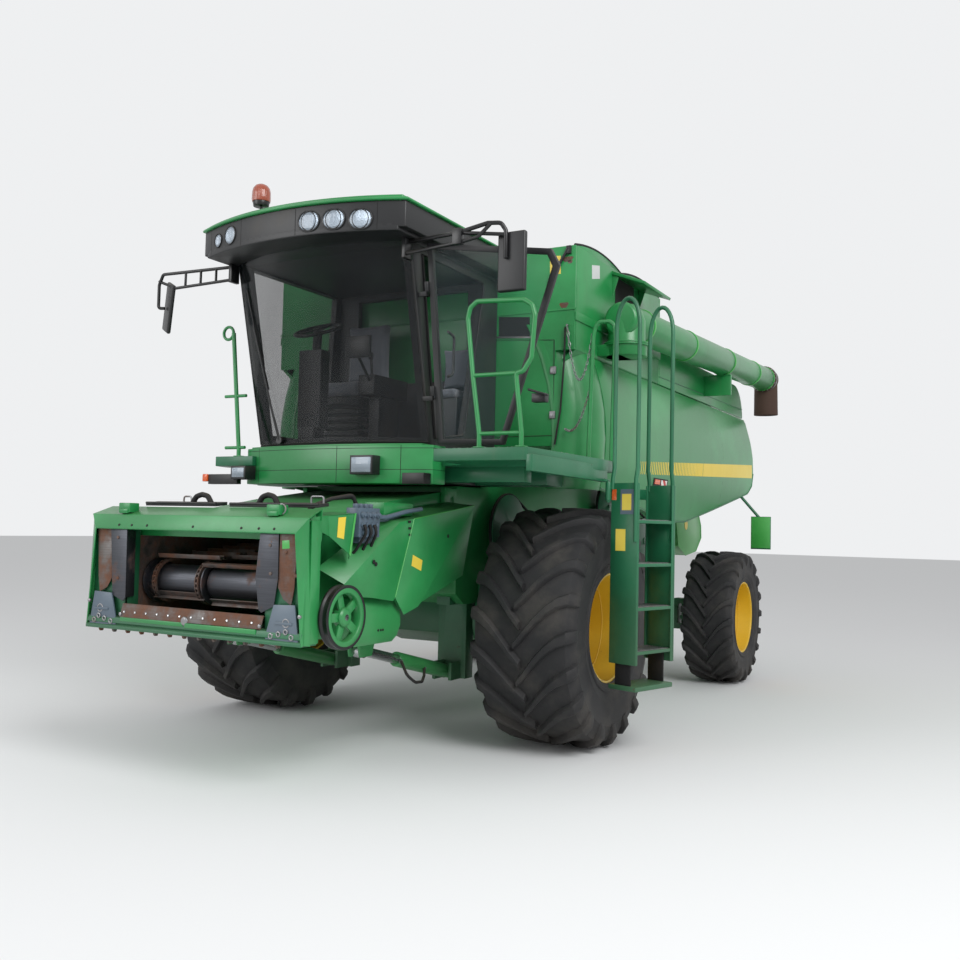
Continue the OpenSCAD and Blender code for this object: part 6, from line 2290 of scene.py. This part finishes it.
@dataclass
class Auger:
    """The unloading auger on its turret, with bands, flanges and the rubber spout."""

    pivot: tuple[float, float] = (1.705, 0.56)
    level: float = 3.432
    rise: float = math.radians(2.3)
    radius: float = 0.145
    length: float = 4.82

    def on_tube(self, along: float, drop: float = 0.0) -> Vector:
        """Returns the point of the tube's axis at a distance from the turret, lowered a little."""
        x, y = self.pivot
        return at(x, y + along * math.cos(self.rise) + drop * math.sin(self.rise),
                  self.level + along * math.sin(self.rise) - drop * math.cos(self.rise))

    def build(self) -> None:
        """Builds the auger."""
        x, y = self.pivot
        way, r = Vector((0, math.cos(self.rise), math.sin(self.rise))), self.radius
        base = Shape()
        base.lathe(at(x, y, 0), (0, 0, 1), [(3.130, 0), (3.130, 0.172), (3.215, 0.172),
                                            (3.215, 0.190), (3.230, 0.190), (3.230, 0)], 48)
        base.block(at(1.500, 0.420, 3.130), at(x, 0.700, 3.226))
        base.block(at(1.500, 3.500, 3.180), at(1.800, 3.540, 3.400))
        base.block(at(1.560, 3.490, 3.395), at(1.800, 3.550, 3.408))
        base.piece("auger_turret_base", "machine", GREEN, 0.004, 2, replaces=["auger_turret"])
        tube = Shape()
        tube.lathe(at(x, y, 0), (0, 0, 1), [(3.2305, 0), (3.2305, 0.190),
                                            (3.246, 0.190), (3.246, 0.158), (3.430, 0.155),
                                            (3.520, 0.125), (3.570, 0.070), (3.582, 0)], 48)
        tube.lathe(self.on_tube(0), way, [(-0.155, 0), (-0.155, r - 0.02),
                                          (-0.135, r), (self.length, r), (self.length, 0)], 56)
        tube.piece("auger_pipe", "unloading_auger", GREEN, 0.003, 2, replaces=["auger_tube"])
        bands = Shape()
        for along in (0.30, 1.55, 2.95, 4.10, self.length - 0.02):
            bands.lathe(self.on_tube(along), way, [(-0.015, r - 0.003), (-0.015, r + 0.007),
                                                   (0.015, r + 0.007), (0.015, r - 0.003)], 56)
        bands.piece("auger_bands", "unloading_auger", FRESH, 0.002)
        ring = [self.on_tube(self.length - 0.035) + Vector((math.cos(a), 0, math.sin(a)))
                * (r + 0.010)
                for a in [math.pi * k / 8 for k in range(16)]]
        bolts = Shape()
        for spot in ring:
            bolts.rod(spot, spot + way * 0.030, 0.007, 6)
        bolts.piece("auger_flange_bolts", "unloading_auger", Tone.STEEL, 0.0)
        spout = Shape()
        spout.lathe(self.on_tube(self.length), way,
                    [(0.0005, 0), (0.0005, r + 0.012), (0.02, r + 0.014), (0.19, r + 0.006),
                                                     (0.27, r - 0.02),
                                                     (0.295, r - 0.07), (0.295, 0)], 48)
        spout.lathe(self.on_tube(self.length + 0.155),
                    Vector((0, math.sin(self.rise), -math.cos(self.rise))),
                    [(0.02, 0.120), (0.02, 0.142), (0.18, 0.144),
                     (0.36, 0.146), (0.452, 0.148), (0.452, 0.137), (0.20, 0.132)], 48)
        spout.piece("auger_rubber_spout", "unloading_auger", Tone.BROWN,
                    0.004, 2, replaces=["auger_spout"])
        clamp = Shape()
        clamp.lathe(self.on_tube(self.length + 0.05), way,
                    [(-0.012, r + 0.011), (-0.012, r + 0.020),
                     (0.012, r + 0.020), (0.012, r + 0.011)], 48)
        clamp.piece("auger_spout_clamp", "unloading_auger", Tone.STEEL, 0.0)


@dataclass
class SideShields:
    """The rolled side shields with their blank stripe and seams, and the panels above."""

    outline: tuple[tuple[float, float], ...] = (
        (0.300, 2.010), (2.300, 1.760), (2.800, 1.770), (3.900, 1.960),
        (5.000, 2.150), (5.140, 2.240),
        (5.180, 2.400), (5.215, 3.040), (5.190, 3.088), (0.300, 3.088))

    @staticmethod
    def edge_at(loop: Sequence[Sequence[float]], y: float) -> tuple[float, float]:
        """Returns the lower and upper height of a closed outline at a length."""
        levels = []
        for (y0, z0), (y1, z1) in zip(loop, [*loop[1:], loop[0]]):
            if min(y0, y1) - 1e-9 <= y <= max(y0, y1) + 1e-9 and abs(y1 - y0) > 1e-9:
                levels.append(z0 + (z1 - z0) * (y - y0) / (y1 - y0))
        return min(levels), max(levels)

    def patch(self, shape: Shape, loop: Sequence[Sequence[float]],
              low: float, high: float, side: int = 1,
              rows: int = 8) -> None:
        """Adds a sheet that follows the shield's face.

        Args:
            shape: what it is added to.
            loop: its closed outline in Y and Z.
            low: how far its inner face stands off the shield's face.
            high: how far its outer face stands off it.
            side: 1 for the left shield, -1 for the right.
            rows: faces up its height.
        """
        stops = sorted({y for y, _ in loop})
        columns = [stops[0]]
        for before, after in zip(stops, stops[1:]):
            steps = max(1, round((after - before) / 0.25))
            columns += [before + (after - before) * k / steps for k in range(1, steps + 1)]
        points, wide = [], rows + 1
        for out in (low, high):
            for y in columns:
                bottom, top = self.edge_at(loop, min(max(y, stops[0] + 1e-4), stops[-1] - 1e-4))
                points += [on_shield(y, bottom + (top - bottom) * k / rows, out, side)
                           for k in range(wide)]
        layer, faces = len(columns) * wide, []
        for c in range(len(columns) - 1):
            for r in range(rows):
                quad = (c * wide + r, c * wide + r + 1, (c + 1) * wide + r + 1, (c + 1) * wide + r)
                faces += [quad, tuple(layer + i for i in reversed(quad))]
        last = (len(columns) - 1) * wide
        rim = (list(range(rows + 1)) + [c * wide + rows for c in range(1, len(columns))]
               + [last + r for r in range(rows - 1, -1, -1)]
               + [c * wide for c in range(len(columns) - 2, 0, -1)])
        faces += [(a, b, layer + b, layer + a) for a, b in zip(rim, [*rim[1:], rim[0]])]
        shape.add(points, faces)

    def shields(self) -> None:
        """Rolls both shields and their folded edges."""
        for name, side in (("left", 1), ("right", -1)):
            shape = Shape()
            self.patch(shape, self.outline, -0.026, 0.0, side, 20)
            shape.piece("shield_sheet_" + name, "shield_" + name,
                        GREEN, 0.004, 2, replaces=["side_shield_" + name])
            seams = Shape()
            self.patch(seams, [(3.815, 1.950), (3.821, 1.950), (3.821, 3.085), (3.815, 3.085)],
                       -0.001, 0.0006, side)
            hem = [on_shield(y, z + 0.012, 0.001, side) for y, z in self.outline[:7]]
            seams.tube(hem, 0.005, 6)
            seams.piece("shield_seams_" + name, "shield_" + name, DEEP, 0.0)

    @staticmethod
    def stripe_part(first: float, last: float) -> list[tuple[float, float]]:
        """Returns the outline of a piece of the stripe between two lengths."""
        edges = []
        for y in (first, last):
            t = (y - 1.10) / 3.80
            edges.append((2.180 + 0.165 * t, 2.292 + 0.212 * t))
        return [(first, edges[0][0]), (last, edges[1][0]), (last, edges[1][1]),
                (first, edges[0][1])]

    def stripe(self) -> None:
        """Lays the blank stripe that grows from a pale hatch to solid yellow."""
        for name, side in (("left", 1), ("right", -1)):
            solid, hatch = Shape(), Shape()
            self.patch(solid, self.stripe_part(3.05, 5.12), 0.0002, 0.0014, side, 2)
            start, step, count = 1.12, 0.048, 40
            for k in range(count):
                width = 0.010 + 0.036 * k / count
                part = self.stripe_part(start + step * k, start + step * k + width)
                self.patch(hatch, part, 0.0002, 0.0013, side, 2)
            solid.piece("shield_stripe_" + name, "shield_" + name, Tone.LABEL, 0.0)
            hatch.piece("shield_stripe_hatch_" + name, "shield_" + name, Tone.LABEL, 0.0)

    def reflectors(self) -> None:
        """Fits the dark-edged reflector plate behind the ladder."""
        dark, amber, board = Shape(), Shape(), Shape()
        self.patch(dark, [(1.530, 2.040), (1.930, 2.040), (1.930, 2.170), (1.530, 2.170)],
                   0.0002, 0.004, 1, 2)
        self.patch(amber, [(1.560, 2.115), (1.700, 2.115), (1.700, 2.158), (1.560, 2.158)],
                   0.004, 0.009, 1, 2)
        self.patch(board, [(1.740, 2.055), (1.905, 2.055), (1.905, 2.158), (1.740, 2.158)],
                   0.004, 0.006, 1, 2)
        dark.piece("shield_reflector_plate", "shield_left", Tone.SEAL, 0.0)
        amber.piece("shield_reflector", "shield_left", Tone.AMBER, 0.0)
        board.piece("shield_marker", "shield_left", Tone.BOARD, 0.0)

    def upper_panels(self) -> None:
        """Closes the gap over each shield with a panel that is round at its rear top corner."""
        corner = [(4.780 + 0.40 * math.sin(a), 3.080 + 0.40 * math.cos(a))
                  for a in [math.pi / 2 * k / 8 for k in range(9)]]
        for name, side, front in (("left", 1, 2.004), ("right", -1, 3.160)):
            shape = Shape()
            loop = [(front, 3.105), (front, 3.470), (4.300, 3.480), *corner[:-1], (5.180, 3.105)]
            shape.plate([at(side * 1.5005, y, z) for y, z in loop], (-side * 0.030, 0, 0))
            for y in (4.000, 4.700):
                shape.rod(at(side * 0.690, y - 0.10, 2.960), at(side * 1.480, y, 3.200), 0.018)
            shape.piece("rear_panel_" + name, "machine", GREEN, 0.008, 3)
            line = Shape().tube([at(side * 1.502, y, z) for y,
                                 z in ((front, 3.180), (5.150, 3.215))], 0.004, 6)
            line.piece("rear_panel_seam_" + name, "machine", DEEP, 0.0)

    def build(self) -> None:
        """Builds the sides."""
        self.shields()
        self.stripe()
        self.reflectors()
        self.upper_panels()


@dataclass
class Rear:
    """What shows behind: marker boards on their arms, chopper trim and grilles."""

    screen: tuple[float, float, float] = (-1.522, 2.650, 3.550)

    def on_screen(self, radius: float, angle: float) -> Vector:
        """Returns a point on the face of the air screen at a distance and angle from its middle."""
        x, y, z = self.screen
        return at(x, y + radius * math.cos(angle), z + radius * math.sin(angle))

    def boards(self) -> None:
        """Carries the marker boards and rear lamps on bent arms."""
        shape, face, red = Shape(), Shape(), Shape()
        path = [at(0.690, 4.800, 2.260), at(1.480, 4.800, 2.230),
                at(1.560, 4.800, 2.150), at(1.840, 4.800, 1.830), at(1.840, 4.800, 1.700)]
        shape.tube(bent(path, 0.05), 0.017, 12)
        shape.block(at(1.720, 4.770, 1.486), at(1.955, 4.784, 1.876))
        shape.block(at(1.790, 4.780, 1.600), at(1.890, 4.815, 1.760))
        face.block(at(1.726, 4.762, 1.500), at(1.949, 4.770, 1.870))
        red.block(at(1.745, 4.784, 1.520), at(1.820, 4.830, 1.720))
        red.block(at(1.850, 4.784, 1.520), at(1.925, 4.830, 1.600))
        for each in (shape, face, red):
            each.mirrored()
        shape.piece("marker_arms", "machine", DEEP, 0.004, 2, replaces=["lamp_boards"])
        face.piece("marker_faces", "machine", FRESH, 0.002)
        red.piece("rear_lamps", "machine", Tone.RED, 0.008, 3)

    def chopper(self) -> None:
        """Adds the chopper's round blank sticker, rims and spreading vanes."""
        disc = Shape().disc(at(0.882, 4.900, 1.760), (1, 0, 0), 0.060, 0.003, 32)
        disc.piece("chopper_sticker", "machine", Tone.LABEL, 0.0)
        vanes = Shape()
        for k in range(9):
            x = -0.72 + 0.18 * k
            vanes.plate([at(x, 5.260, 1.470), at(x + 0.05 * (k - 4) / 4, 5.520, 1.500),
                         at(x + 0.05 * (k - 4) / 4, 5.520, 1.610),
                         at(x, 5.260, 1.630)], (0.004, 0, 0))
        vanes.piece("chopper_vanes", "machine", Tone.STEEL, 0.0)
        rim = Shape()
        loop = [(4.560, 2.060), (4.520, 1.760), (4.600, 1.500),
                (4.900, 1.380), (5.340, 1.430), (5.560, 1.600), (5.540, 1.760), (5.260, 2.140)]
        for x in (-0.878, 0.878):
            rim.tube([at(x, y, z) for y, z in loop], 0.006, 6, True)
        rim.piece("chopper_rims", "machine", FRESH, 0.0)

    def grilles(self) -> None:
        """Sets the slats of the engine's grille and the wires of the air screen."""
        slats = Shape()
        for k in range(13):
            z = 3.075 + 0.026 * k
            slats.block(at(-1.000, 3.892, z), at(1.300, 3.902, z + 0.010))
        slats.piece("engine_grille", "machine", Tone.SATIN, 0.0)
        bar = Shape()
        for k in range(12):
            a = math.pi * k / 6
            bar.rod(self.on_screen(0.10, a), self.on_screen(0.32, a), 0.004, 6)
        for radius in (0.10, 0.16, 0.21, 0.26, 0.315):
            bar.tube([self.on_screen(radius, a * math.pi / 24) for a in range(48)], 0.0035, 6, True)
        bar.piece("air_screen_mesh", "air_screen", Tone.STEEL, 0.0)

    def build(self) -> None:
        """Builds the rear."""
        self.boards()
        self.chopper()
        self.grilles()


ASSEMBLIES = (Wheels, FeederFrame, FeederChain, FeederTop, FeederSide,
              Cab, Decks, Tank, Auger, SideShields, Rear)


# the machine


FINISH_OF_SLOT = {"green_paint": Tone.GREEN, "dark_green_paint": Tone.DEEP,
                  "bright_green_paint": Tone.FRESH,
                  "yellow_paint": Tone.YELLOW, "black_plastic": Tone.BLACK,
                  "black_rubber": Tone.SEAL,
                  "tyre_rubber": Tone.TYRE, "worn_steel": Tone.STEEL, "engine_iron": Tone.IRON,
                  "chrome_rod": Tone.BRIGHT, "tinted_glass": Tone.TINTED, "clear_glass": Tone.CLEAR,
                  "lamp_glass": Tone.LAMP, "orange_plastic": Tone.AMBER, "seat_cloth": Tone.SEAT}


@dataclass
class Frame:
    """The CAD nodes that keep their shape and only get rounded edges and a finish."""

    edges: dict[str, float] = field(default_factory=lambda: {
        "cab_door_glass": 0.0, "drive_belts": 0.002})
    usual_edge: float = 0.004

    def build(self) -> None:
        """Refines every CAD node that no other piece stands for."""
        slots = {part["node"]: part["material_slot"] for part in frame["record"]["subparts"]}
        for node, obj in sorted(frame["nodes"].items()):
            if not obj.hide_render:
                refine(node, FINISH_OF_SLOT[slots[node]], self.edges.get(node, self.usual_edge))


def main() -> None:
    """Builds the studio and every sub-assembly in order."""
    logging.basicConfig(level=logging.INFO, format="%(name)s: %(message)s")
    Studio().build()
    for assembly in ASSEMBLIES:
        assembly().build()
    Frame().build()


if __name__ == "__main__":
    main()
